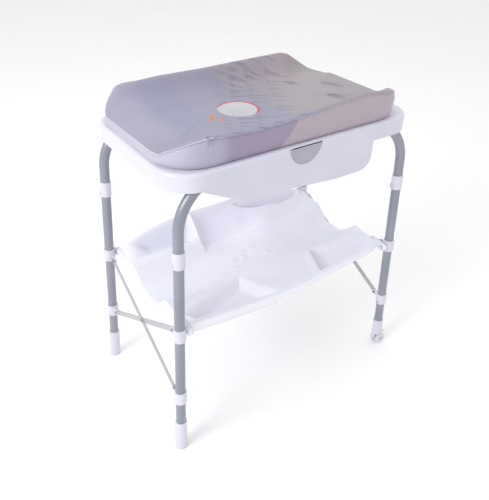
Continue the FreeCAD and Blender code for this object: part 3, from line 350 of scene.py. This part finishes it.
def wall_colours(paint, x, y, z, wash):
    """The mat's sides: pale at the left end, plum and then rose along the front."""
    left = paint.mix((x + wash * 0.03).step(-0.275, -0.225), linear(171, 169, 187), linear(153, 141, 163))
    past_panel = x - PANEL_FOOT_X - (z - PANEL_FOOT_Z) * PANEL_SLANT
    side = paint.mix(past_panel.step(-0.001, 0.001), left, linear(175, 163, 174))
    side = paint.mix(x.step(-0.30, -0.36), side, linear(180, 178, 194))
    return paint.mix(y.step(0.0, 0.15) * x.step(-0.2, 0.1), side, linear(157, 147, 156))


def mat_cover():
    """Printed coated cover: misty colour fields, rows of conifers, drifting leaves and a pale disc."""
    paint = Paint("mat_cover", Sheen_Weight=0.1, Sheen_Roughness=0.5)
    x, y, z = paint.split()
    wash = paint.noise(5.0, 3.0) - 0.5
    fine = paint.noise(60.0, 4.0) - 0.5
    top, torn = colour_fields(paint, x, y, wash, fine)
    top = forest(paint, top, x, y, fine, torn)
    top = disc_and_leaves(paint, top, x, y, wash, fine)
    side = wall_colours(paint, x, y, z, wash)
    cover = paint.mix(paint.attribute("wall").step(0.3, 0.7), top, side)
    # Painted highlight: the piping's bead is lightened towards pale lilac, mostly at the left end.
    paint.colour(paint.mix(paint.attribute("welt_highlight") * 0.7, cover, linear(206, 205, 220)))
    paint.bump(paint.noise(1300.0, 2.0), 0.00006, 0.5)
    paint.bump(paint.noise(14.0, 3.0), 0.0016, 0.25)
    paint.roughness(paint.noise(30.0, 4.0) * 0.16 + 0.38)
    return paint.material


# ---------------------------------------------------------------- materials on the frame

WHITE = moulded("white_plastic", linear(214, 214, 226), linear(208, 208, 221), 0.42)
TUB = moulded("tub_plastic", linear(213, 213, 226), linear(208, 208, 222), 0.34, coat=0.1)
# Painted light: the tray is a brighter copy of the same white plastic, standing in for the light that
# reaches it below the tub.
TRAY_PAINTED_LIGHT = moulded("tray_plastic_painted_light", linear(240, 240, 249), linear(235, 235, 246), 0.38)
GRIP = moulded("grip_plastic", linear(176, 174, 190), linear(169, 167, 184), 0.5)
BRACE = moulded("brace_coat", linear(178, 178, 182), linear(168, 168, 173), 0.45)
BOARD = moulded("mat_board_sheet", linear(219, 219, 228), linear(216, 216, 225), 0.55)
WHEEL = moulded("castor_wheel_plastic", linear(226, 226, 234), linear(215, 215, 225), 0.4)
COVER = mat_cover()

BY_SLOT = {
    "tube": tube_coat(),
    "steel": plated(),
    "white_plastic": WHITE,
    "tub_plastic": TUB,
    "grip_plastic": GRIP,
    "brace_plastic": BRACE,
    "rubber_pad": rubber(),
    "wheel_plastic": WHEEL,
    "board": BOARD,
    "mat_cover": COVER,
}


def coat(obj, material):
    obj.data.materials.clear()
    obj.data.materials.append(material)


for part in frame["record"]["subparts"]:
    coat(nodes[part["node"]], BY_SLOT[part["material_slot"]])


# ---------------------------------------------------------------- mat

MAT_LEFT, MAT_RIGHT = -0.3860, 0.3625
MAT_HALF_Y = 0.2125
MAT_CORNER = 0.106
MAT_FOOT = 0.8774       # where the cover meets the tub's rim
BOARD_TOP = 0.8825      # the pad's underside lies on the board
VALLEY = 0.9045         # the mat's middle

# Crests of the raised sides: X and height, from the left end to the castor end.
FRONT_CREST = (
    (-0.380, 0.905), (-0.372, 0.917), (-0.353, 0.931), (-0.329, 0.943), (-0.301, 0.950),
    (-0.286, 0.951), (-0.250, 0.947), (-0.180, 0.942), (-0.030, 0.946), (0.105, 0.958),
    (0.210, 0.963), (0.300, 0.950), (0.350, 0.934), (0.367, 0.930),
)
REAR_CREST = (
    (-0.384, 0.903), (-0.355, 0.925), (-0.318, 0.951), (-0.190, 0.957), (-0.060, 0.956),
    (0.150, 0.960), (0.230, 0.961), (0.260, 0.953), (0.290, 0.935), (0.317, 0.916),
    (0.330, 0.906), (0.345, 0.901), (0.367, 0.898),
)
CREST_FADE = (0.105, 0.135)     # the ends stay low out to here, to either side of the middle
TIP_FADE = (-0.155, -0.128)     # the front crest runs on to here, round the castor end

MAT_STEPS = 640                 # points round the mat
WALL_LEVELS = np.linspace(0.1, 0.80, 11)
WALL_BULGE = 0.0042
WALL_SAG = 0.0012
FULL_RISE = 0.06                # a wall this high bulges in full

CREST_ROUND = (0.0035, 0.0085)  # least and greatest radius of the rounded crest
CREST_GROWTH = 0.13             # how fast the radius grows with the crest's height
SEAM_SHARE = 0.35               # height of the seam on that rounding
BEAD, END_BEAD = 0.0008, 0.0012     # the piping's bead, and what the left end adds to it

TOP_INSET = 0.0090              # where the top begins, in from the outline
TOP_DEPTHS = (                  # rings of the top, in from the outline, closest on the raised sides
    0.010, 0.014, 0.020, 0.027, 0.034, 0.042, 0.050, 0.058, 0.066, 0.074, 0.082, 0.090,
    0.100, 0.112, 0.126, 0.142, 0.160, 0.180, 0.198, 0.2118,
)
SIDE_SLOPE = (-0.030, 0.088)    # a raised side falls off over this depth
SIDE_CROWN = 0.0022
SIDE_CROWN_DEPTH = 0.030
END_CROWN = 0.0035              # the same, where the edge is low
END_CROWN_DEPTH = 0.2
FULL_LIFT, LOW_LIFT = 0.05, 0.02    # crest over the middle: a full raised side, a low edge
RIPPLE = 0.0007

# Place, reach and depth of the gathers where the piping turns a corner.
PUCKERS = (
    ((-0.289, -0.213, 0.947), 0.018, 0.0034),
    ((-0.316, 0.212, 0.947), 0.018, 0.0030),
    ((0.352, -0.180, 0.920), 0.030, 0.0012),
    ((0.300, 0.206, 0.925), 0.030, 0.0012),
)
PUCKER_COUNT = 8


def mesh_object(name, vertices, faces):
    """A smooth mesh object in the scene."""
    mesh = bpy.data.meshes.new(name)
    mesh.from_pydata([tuple(v) for v in vertices], [], faces)
    mesh.validate()
    mesh.polygons.foreach_set("use_smooth", [True] * len(mesh.polygons))
    obj = bpy.data.objects.new(name, mesh)
    scene.collection.objects.link(obj)
    return obj


def curve_at(points, x):
    xs, ys = zip(*points)
    return np.interp(x, xs, ys)


def ease(value, low, high):
    """0 at low and 1 at high, smooth between."""
    share = np.clip((value - low) / (high - low), 0, 1)
    return share * share * (3 - 2 * share)


def hump(share):
    """0 at 0, 1 at a half and 0 from 1 on."""
    return math.sin(math.pi * min(1, share))


def rounded_loop(left, right, half_y, radius, count):
    """Points and outward normals evenly round a rounded rectangle, from the middle of the right end."""
    straight_x, straight_y = right - left - 2 * radius, 2 * (half_y - radius)
    arc = math.pi * radius / 2
    total = 2 * straight_x + 2 * straight_y + 4 * arc
    middle = np.array(((left + right) / 2, 0))
    run = (total * np.arange(count) / count + straight_y / 2) % total
    points, normals = np.zeros((count, 2)), np.zeros((count, 2))
    start = 0
    for quarter in range(4):
        side, depth = (straight_x, straight_y / 2) if quarter % 2 else (straight_y, straight_x / 2)
        out = np.array((math.cos(math.pi * quarter / 2), math.sin(math.pi * quarter / 2)))
        onward = np.array((-out[1], out[0]))
        here = run >= start
        along = np.clip(run[here] - start, 0, side)[:, None] - side / 2
        turn = np.clip(run[here] - start - side, 0, arc)[:, None] / radius
        normals[here] = out * np.cos(turn) + onward * np.sin(turn)
        points[here] = middle + out * depth + onward * along + normals[here] * radius
        start += side + arc
    return points, normals


def mat_edge_height(x, y):
    """Height of the crest along the mat's outline."""
    front_tip = (x > 0) & (y < 0)
    tip = np.where(x > 0, 1 - ease(y, *TIP_FADE), 1)
    front = VALLEY + (curve_at(FRONT_CREST, x) - VALLEY) * tip
    height = np.where(y < 0, front, curve_at(REAR_CREST, x))
    level = ease(np.abs(y), *CREST_FADE)
    return VALLEY + (height - VALLEY) * np.where(front_tip, 1, level)


def pucker(points, at, reach, depth):
    """Small gathers running out from a point."""
    offset = points - np.array(at)
    distance = np.linalg.norm(offset, axis=1)
    angle = np.arctan2(offset[:, 2], offset[:, 0] + offset[:, 1] * 0.4)
    fade = np.exp(-((distance / reach) ** 2)) * ease(distance, 0, 0.006)
    return depth * fade * np.sin(angle * PUCKER_COUNT)


def mat_rings(loop, normal):
    """Rings of points from the underside up the wall, over the piping and in to the middle line.

    Each ring comes with its share of the wall's colour and of the painted highlight on the piping's bead.
    """
    x, y = loop.T
    edge = mat_edge_height(x, y)
    rise = edge - MAT_FOOT
    lift = edge - VALLEY
    rings = []

    # The last share of a ring is how much painted highlight its part of the piping's bead gets.
    def ring(inset, height, wall, welt_highlight=0.0):
        position = loop - normal * np.reshape(inset, (-1, 1))
        points = np.column_stack((position, np.broadcast_to(height, MAT_STEPS)))
        rings.append((points, wall, np.broadcast_to(welt_highlight, MAT_STEPS)))

    ring(0.0032, BOARD_TOP, 1)
    for inset, height in ((0.0030, 0.0004), (0.0016, -0.0004), (0.0002, 0.0012)):
        ring(inset, MAT_FOOT + height, 1)
    for share in WALL_LEVELS:
        bulge = hump(share * 1.02) * WALL_BULGE * np.clip(rise / FULL_RISE, 0.45, 1)
        sag = WALL_SAG * np.sin(x * 41 + y * 23 + share * 5) * share * (1 - share) * 3
        ring(-0.0006 - bulge - sag, MAT_FOOT + rise * share, 1)

    tight = 1 - 0.55 * ease(-x, 0.262, 0.275)
    crest = np.clip(CREST_ROUND[0] + lift * CREST_GROWTH, *CREST_ROUND) * tight
    left_end = ease(-x, 0.240, 0.290)
    bead = BEAD + END_BEAD * left_end
    seam = edge - crest * (1 - SEAM_SHARE)
    ring(-0.0012, edge - crest - 0.0010, 1)
    ring(0.0004, seam - bead, 1)
    # These rings form the bead; towards the left end they carry the painted highlight.
    ring(-0.0008 - bead, seam - bead * 0.4, 0.9, left_end)
    ring(-0.0008 - bead, seam + bead * 0.6, 0.5, left_end)
    ring(-0.0004, seam + 0.0012, 0, left_end * 0.6)
    for turned in np.radians((32, 48, 64, 80)):
        ring(crest * (1 - math.cos(turned)), edge - crest * (1 - math.sin(turned)), 0)

    middle_x = np.clip(x, MAT_LEFT + MAT_HALF_Y, MAT_RIGHT - MAT_HALF_Y)
    inner = np.column_stack((middle_x, np.zeros(MAT_STEPS)))
    start = loop - normal * TOP_INSET
    slope_at_crest = 1 - ease(TOP_INSET - 0.0005, *SIDE_SLOPE)
    for depth in TOP_DEPTHS:
        position = start + (inner - start) * (depth - TOP_INSET) / (MAT_HALF_Y - TOP_INSET)
        body = lift * (1 - ease(depth, *SIDE_SLOPE)) / slope_at_crest
        crown = hump(depth / SIDE_CROWN_DEPTH) * SIDE_CROWN * np.clip(lift / FULL_LIFT, 0, 1)
        soft = hump(depth / END_CROWN_DEPTH) * END_CROWN * (1 - np.clip(lift / LOW_LIFT, 0, 1))
        waves = np.sin(position[:, 0] * 38 + 1.3 * np.sin(position[:, 1] * 31))
        ripple = RIPPLE * waves * ease(depth, 0.01, 0.06)
        points = np.column_stack((position, VALLEY + body + crown + soft + ripple))
        rings.append((points, 0, np.zeros(MAT_STEPS)))
    return rings


def fill_middle(mesh, hole):
    """Closes the slit that the innermost ring leaves, given that ring's vertices."""
    work = bmesh.new()
    work.from_mesh(mesh)
    work.verts.ensure_lookup_table()
    rim = {e for i in hole for e in work.verts[i].link_edges if e.is_boundary}
    bmesh.ops.triangle_fill(work, use_beauty=True, edges=sorted(rim, key=lambda e: e.index))
    bmesh.ops.recalc_face_normals(work, faces=work.faces)
    work.to_mesh(mesh)
    work.free()
    mesh.polygons.foreach_set("use_smooth", [True] * len(mesh.polygons))


def padded_mat():
    """The mat as foam in a welded cover: sheer walls, piping round the top and wedge-shaped sides."""
    loop, normal = rounded_loop(MAT_LEFT, MAT_RIGHT, MAT_HALF_Y, MAT_CORNER, MAT_STEPS)
    rings, on_wall, on_welt_highlight = zip(*mat_rings(loop, normal))
    vertices = np.vstack(rings)
    outward = np.tile(np.column_stack((normal, np.zeros(MAT_STEPS))), (len(rings), 1))
    for at, reach, depth in PUCKERS:
        vertices += outward * pucker(vertices, at, reach, depth)[:, None]

    ahead = np.roll(np.arange(MAT_STEPS), -1)
    faces = []
    for lower in range(0, len(vertices) - MAT_STEPS, MAT_STEPS):
        upper = lower + MAT_STEPS
        faces += [(lower + i, lower + j, upper + j, upper + i) for i, j in enumerate(ahead.tolist())]
    under = len(vertices)
    vertices = np.vstack((vertices, [[(MAT_LEFT + MAT_RIGHT) / 2, 0, BOARD_TOP]]))
    faces += [(under, j, i) for i, j in enumerate(ahead.tolist())]

    obj = mesh_object("changing_mat", vertices, faces)
    fill_middle(obj.data, range(under - MAT_STEPS, under))
    for name, shares in (("wall", np.repeat(on_wall, MAT_STEPS)), ("welt_highlight", np.concatenate(on_welt_highlight))):
        attribute = obj.data.attributes.new(name, "FLOAT", "POINT")
        values = np.zeros(len(obj.data.vertices))
        values[:len(shares)] = shares
        attribute.data.foreach_set("value", values)
    coat(obj, COVER)
    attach(obj, "mat")
    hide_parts("mat_pad")


padded_mat()


# ---------------------------------------------------------------- tray

TRAY_HALF_X, TRAY_HALF_Y = 0.366, 0.205
TRAY_BOW_X, TRAY_BOW_Y = 0.004, 0.008       # the ends bow in and the long edges bow out
TRAY_WALL = 0.0032
TRAY_FLOOR, ARM_RISE = 0.387, 0.049
BACK_RISE, FRONT_RISE = 0.101, 0.020
TRAY_COLUMNS, TRAY_ROWS = 260, 150
PANEL_START = 0.146                         # where the panel in the middle of the rear wall begins

# Outlines run anticlockwise; each side has the width of the ramp that leads down from it.
# A floor is a height, its rise along X and the place where it has that height.
FRONT_LEFT_POCKET = (
    (
        (-0.350, -0.155, 0.030), (-0.330, -0.196, 0.012),
        (-0.036, -0.203, 0.052), (-0.086, -0.050, 0.040),
    ),
    (0.374, -0.085, -0.110),
)
FRONT_RIGHT_POCKET = (
    (
        (0.352, -0.152, 0.034), (0.183, -0.050, 0.020),
        (0.116, -0.196, 0.012), (0.335, -0.194, 0.025),
    ),
    (0.371, 0.150, 0.140),
)
REAR_LEFT_POCKET = (
    (
        (-0.356, 0.115, 0.060), (-0.106, 0.120, 0.010),
        (-0.118, 0.207, 0.010), (-0.350, 0.205, 0.090),
    ),
    (0.394, -0.110, -0.119),
)
REAR_RIGHT_POCKET = (
    (
        (0.040, 0.209, 0.030), (0.151, 0.160, 0.034), (0.233, 0.143, 0.034),
        (0.335, 0.162, 0.030), (0.350, 0.205, 0.012),
    ),
    (0.424, 0.050, 0.233),
)
POCKETS = (FRONT_LEFT_POCKET, FRONT_RIGHT_POCKET, REAR_LEFT_POCKET, REAR_RIGHT_POCKET)

DENT = ((-0.098, 0.160, 0.030), (0.080, 0.142, 0.150), (0.080, 0.208, 0.012), (-0.086, 0.208, 0.014))
DENT_DEPTH = 0.013
STEP_HEIGHT = 0.012             # of the steps beside the front arms
CREASE_HEIGHT = 0.0060          # of the ridge along the front right pocket's inner end
CREASE_PLACE = (0.145, -0.120)
CREASE_AIM = (0.885, -0.466)    # unit direction across it

# Place, reach in X and in Y, and height of the low raised pips in the middle.
PIPS = (
    (-0.053, 0.025, 0.014, 0.010, 0.0026),
    (-0.020, 0.023, 0.010, 0.014, 0.0026),
    (0.034, 0.055, 0.016, 0.009, 0.0022),
    (0.064, 0.009, 0.012, 0.016, 0.0022),
    (-0.075, -0.012, 0.020, 0.008, 0.0018),
)

# Rings of the turned-down edge: how far each stands out from the tray's outline, then its drop
# from the tray's top or, round the foot, its height over the foot.
EDGE_ROUND = ((0.0010, 0.0002), (0.0020, 0.0009), (0.0027, 0.0021), (0.0030, 0.0040))
FOOT_ROUND = ((0.0032, 0.0005), (0.0028, 0.0), (0.0012, -0.0001), (0.0006, 0.0004))
UNDER_ROUND = (0.0, 0.0044)
DEEP_LIP, SHALLOW_LIP = 0.026, 0.011        # of the front, left and right of its step
LIP_STEP = -0.066
FRONT_LIP_EXTRA, REAR_LIP = 0.005, 0.008

PEG_Y, PEG_Z, PEG_RADIUS = 0.2203, 0.426, 0.006
HOOK_SPACE, HOOK_WALL = 0.0008, 0.0058      # round the peg, then the hook itself
HOOK_DROP = 0.008
HOOK_STEPS = 8
ARM_REACH = 0.056                           # from the peg in to the tray
ARM_NEAR, ARM_FAR = 0.3548, 0.3718          # the arm's two sides, from the middle along X
ARM_BEVEL = 0.0016
SHARP_EDGE = math.radians(28)


def pocket_share(x, y, corners):
    """1 on the floor of a pocket, 0 outside it and a ramp along each side."""
    share = np.ones_like(x)
    for (ax, ay, ramp), (bx, by, _) in zip(corners, corners[1:] + corners[:1]):
        length = math.hypot(bx - ax, by - ay)
        inside = ((bx - ax) * (y - ay) - (by - ay) * (x - ax)) / length
        share = np.minimum(share, ease(inside, 0, ramp))
    return share


def between(value, start, full, fade, end):
    """0 up to start, 1 from full to fade, and 0 again from end."""
    return ease(value, start, full) * (1 - ease(value, fade, end))


def tray_height(x, y):
    """Top surface of the tray: a saddle between four arms, with pockets along both long edges."""
    along = np.clip(np.abs(x) / TRAY_HALF_X, 0, 1)
    across = np.clip(np.abs(y) / TRAY_HALF_Y, 0, 1)
    height = TRAY_FLOOR + ARM_RISE * along ** 1.5 * ease(across, 0.18, 0.52)
    fall = 1 - along ** 2.4
    broad = ease(across, 0.45, 1.0)
    panel_depth = TRAY_HALF_Y + TRAY_BOW_Y - PANEL_START
    panel = np.clip((y - PANEL_START) / panel_depth, 0, 1) ** 1.15
    centre = between(x, -0.112, -0.100, 0.070, 0.190)
    back = BACK_RISE * fall * (broad * (1 - centre) + panel * centre)
    height += np.where(y > 0, back, FRONT_RISE * fall * broad)
    height += STEP_HEIGHT * ease(np.abs(x), 0.318, 0.345) * between(-y, 0.034, 0.041, 0.085, 0.130)
    for corners, (low, rise, start) in POCKETS:
        floor = low + rise * (x - start)
        height += pocket_share(x, y, corners) * np.minimum(floor - height, 0)
    height -= DENT_DEPTH * pocket_share(x, y, DENT)
    for at_x, at_y, reach_x, reach_y, tall in PIPS:
        out = ((x - at_x) / reach_x) ** 2 + ((y - at_y) / reach_y) ** 2
        height += tall * (1 - ease(out, 0.5, 1.0))
    aside = np.abs((x - CREASE_PLACE[0]) * CREASE_AIM[0] + (y - CREASE_PLACE[1]) * CREASE_AIM[1])
    crease = (1 - ease(aside, 0.003, 0.020)) * between(-y, 0.055, 0.080, 0.165, 0.190)
    return height + CREASE_HEIGHT * crease * ease(x, 0.07, 0.10)


def tray_skirt(x, outward_y):
    """How far the turned-down edge hangs below the tray's top: deep along the left of the front."""
    deep = DEEP_LIP * (1 - ease(-x, 0.345, 0.366))
    shallow = SHALLOW_LIP * (1 - ease(x, 0.320, 0.360))
    front = np.where(x < LIP_STEP, deep, shallow) + FRONT_LIP_EXTRA
    return np.where(outward_y < -0.5, front, REAR_LIP)


def tray_arm(side_x, side_y):
    """A hook over its peg with the arm that carries it, cut from one thick profile."""
    inner = PEG_RADIUS + HOOK_SPACE
    outer = inner + HOOK_WALL
    profile = [(-ARM_REACH, 0.0110), (-0.020, 0.0135)]
    for angle in np.radians(np.linspace(115, 0, HOOK_STEPS + 1)):
        profile.append((outer * math.cos(angle), outer * math.sin(angle)))
    profile += [(outer, -HOOK_DROP), (inner, -HOOK_DROP)]
    for angle in np.radians(np.linspace(0, 180, HOOK_STEPS + 1)):
        profile.append((inner * math.cos(angle), inner * math.sin(angle)))
    profile += [(-inner, -HOOK_DROP), (-outer - 0.001, -HOOK_DROP)]
    profile += [(-outer - 0.004, 0.001), (-ARM_REACH, -0.001)]
    vertices = [
        (side_x * x, side_y * (PEG_Y + out), PEG_Z + up)
        for x in (ARM_NEAR, ARM_FAR)
        for out, up in profile
    ]
    count = len(profile)
    faces = [tuple(range(count)), tuple(range(2 * count - 1, count - 1, -1))]
    faces += [(i, i + count, (i + 1) % count + count, (i + 1) % count) for i in range(count)]
    return vertices, faces


def bevelled(vertices, faces, width):
    """A small solid with every sharp edge rounded, as vertices and faces."""
    work = bmesh.new()
    points = [work.verts.new(v) for v in vertices]
    for face in faces:
        work.faces.new([points[i] for i in face])
    bmesh.ops.recalc_face_normals(work, faces=work.faces)
    sharp = [e for e in work.edges if e.calc_face_angle(0) > SHARP_EDGE]
    bmesh.ops.bevel(work, geom=sharp, offset=width, segments=3, affect="EDGES", clamp_overlap=True)
    work.verts.index_update()
    result = [tuple(v.co) for v in work.verts], [tuple(v.index for v in f.verts) for f in work.faces]
    work.free()
    return result


def tray_top():
    """A grid of points over the tray's top, and their numbers laid out in the same grid."""
    along, across = np.meshgrid(np.linspace(-1, 1, TRAY_COLUMNS), np.linspace(-1, 1, TRAY_ROWS))
    x = along * (TRAY_HALF_X - TRAY_BOW_X * (1 - across ** 4))
    y = across * (TRAY_HALF_Y + TRAY_BOW_Y * (1 - along ** 6))
    points = np.column_stack((x.ravel(), y.ravel(), tray_height(x, y).ravel()))
    return points, np.arange(len(points)).reshape(TRAY_ROWS, TRAY_COLUMNS)


def moulded_tray():
    """The tray: one wall thick, its edge rounded over and turned down, with four hooks."""
    top, grid = tray_top()
    quads = np.stack((grid[:-1, :-1], grid[:-1, 1:], grid[1:, 1:], grid[1:, :-1]), axis=-1).reshape(-1, 4)
    edge = np.concatenate((grid[0, :-1], grid[:-1, -1], grid[-1, :0:-1], grid[:0:-1, 0]))
    count = len(edge)
    rim = top[edge]
    ahead = np.roll(rim, -2, axis=0) - np.roll(rim, 2, axis=0)
    out = np.column_stack((ahead[:, 1], -ahead[:, 0], np.zeros(count)))
    out /= np.linalg.norm(out, axis=1)[:, None]
    skirt = tray_skirt(rim[:, 0], out[:, 1])

    edge_rings = [(reach, drop) for reach, drop in EDGE_ROUND]
    edge_rings += [(reach, skirt - height) for reach, height in FOOT_ROUND]
    edge_rings.append(UNDER_ROUND)
    vertices, faces, loops = [top], quads.tolist(), [edge]
    base = len(top)
    for reach, drop in edge_rings:
        down = np.column_stack((np.zeros((count, 2)), np.broadcast_to(drop, count)))
        vertices.append(rim + out * reach - down)
        loops.append(np.arange(base, base + count))
        base += count
    vertices.append(top - np.array((0, 0, TRAY_WALL)))
    faces += (quads[:, ::-1] + base).tolist()
    loops.append(edge + base)
    base += len(top)
    for upper, lower in zip(loops, loops[1:]):
        walls = np.stack((upper, lower, np.roll(lower, -1), np.roll(upper, -1)), axis=-1)
        faces += walls.tolist()
    for side_x in (-1, 1):
        for side_y in (-1, 1):
            arm, arm_faces = bevelled(*tray_arm(side_x, side_y), ARM_BEVEL)
            vertices.append(np.array(arm))
            faces += [tuple(i + base for i in face) for face in arm_faces]
            base += len(arm)
    obj = mesh_object("moulded_tray", np.vstack(vertices), faces)
    # Painted light: the tray takes the brightened copy of the white plastic.
    coat(obj, TRAY_PAINTED_LIGHT)
    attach(obj, "tray")
    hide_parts("tray")


moulded_tray()


# ---------------------------------------------------------------- floor, light and camera

FLOOR_HALF = 14
CAMERA_PLACE = (-0.910, -1.211, 1.461)
CAMERA_TURN = (36.0, 34.5, 1.84)    # yaw from +Y towards +X, pitch down and roll, in degrees
CAMERA_LENS = 41.28
WORLD_STRENGTH = 0.89


def floor_sheet():
    mesh = bpy.data.meshes.new("floor")
    work = bmesh.new()
    bmesh.ops.create_grid(work, x_segments=8, y_segments=8, size=FLOOR_HALF)
    work.to_mesh(mesh)
    work.free()
    obj = bpy.data.objects.new("floor", mesh)
    scene.collection.objects.link(obj)
    paint = Paint("floor_sheet", Roughness=0.9)
    paint.colour(paint.mix(paint.noise(1.5, 2.0), linear(250, 250, 250), linear(247, 247, 247)))
    coat(obj, paint.material)


def area_light(name, at, aim, size, power):
    light = bpy.data.lights.new(name, "AREA")
    light.shape = "DISK"
    light.size = size
    light.energy = power
    obj = bpy.data.objects.new(name, light)
    obj.location = at
    obj.rotation_euler = (Vector(aim) - Vector(at)).to_track_quat("-Z", "Y").to_euler()
    scene.collection.objects.link(obj)


def camera():
    yaw, pitch, roll = (math.radians(angle) for angle in CAMERA_TURN)
    forward = Vector((math.sin(yaw) * math.cos(pitch), math.cos(yaw) * math.cos(pitch), -math.sin(pitch)))
    level = Vector((math.cos(yaw), -math.sin(yaw), 0))
    upright = level.cross(forward)
    right = math.cos(roll) * level + math.sin(roll) * upright
    up = math.cos(roll) * upright - math.sin(roll) * level
    data = bpy.data.cameras.new("camera")
    data.lens = CAMERA_LENS
    data.sensor_width = 36
    data.clip_end = 60
    obj = bpy.data.objects.new("camera", data)
    place = Matrix((right, up, -forward)).transposed().to_4x4()
    place.translation = Vector(CAMERA_PLACE)
    obj.matrix_world = place
    scene.collection.objects.link(obj)
    scene.camera = obj


def studio_world():
    world = bpy.data.worlds.new("studio")
    world.use_nodes = True
    background = world.node_tree.nodes["Background"]
    background.inputs["Color"].default_value = (1, 1, 1, 1)
    background.inputs["Strength"].default_value = WORLD_STRENGTH
    scene.world = world


floor_sheet()
camera()
studio_world()
scene.view_settings.view_transform = "Standard"
area_light("key", (-3.4, -0.5, 2.7), (0, 0, 0.6), 1.8, 66)
area_light("top", (0.6, 0.8, 4.0), (0, 0, 0.5), 3.0, 26)
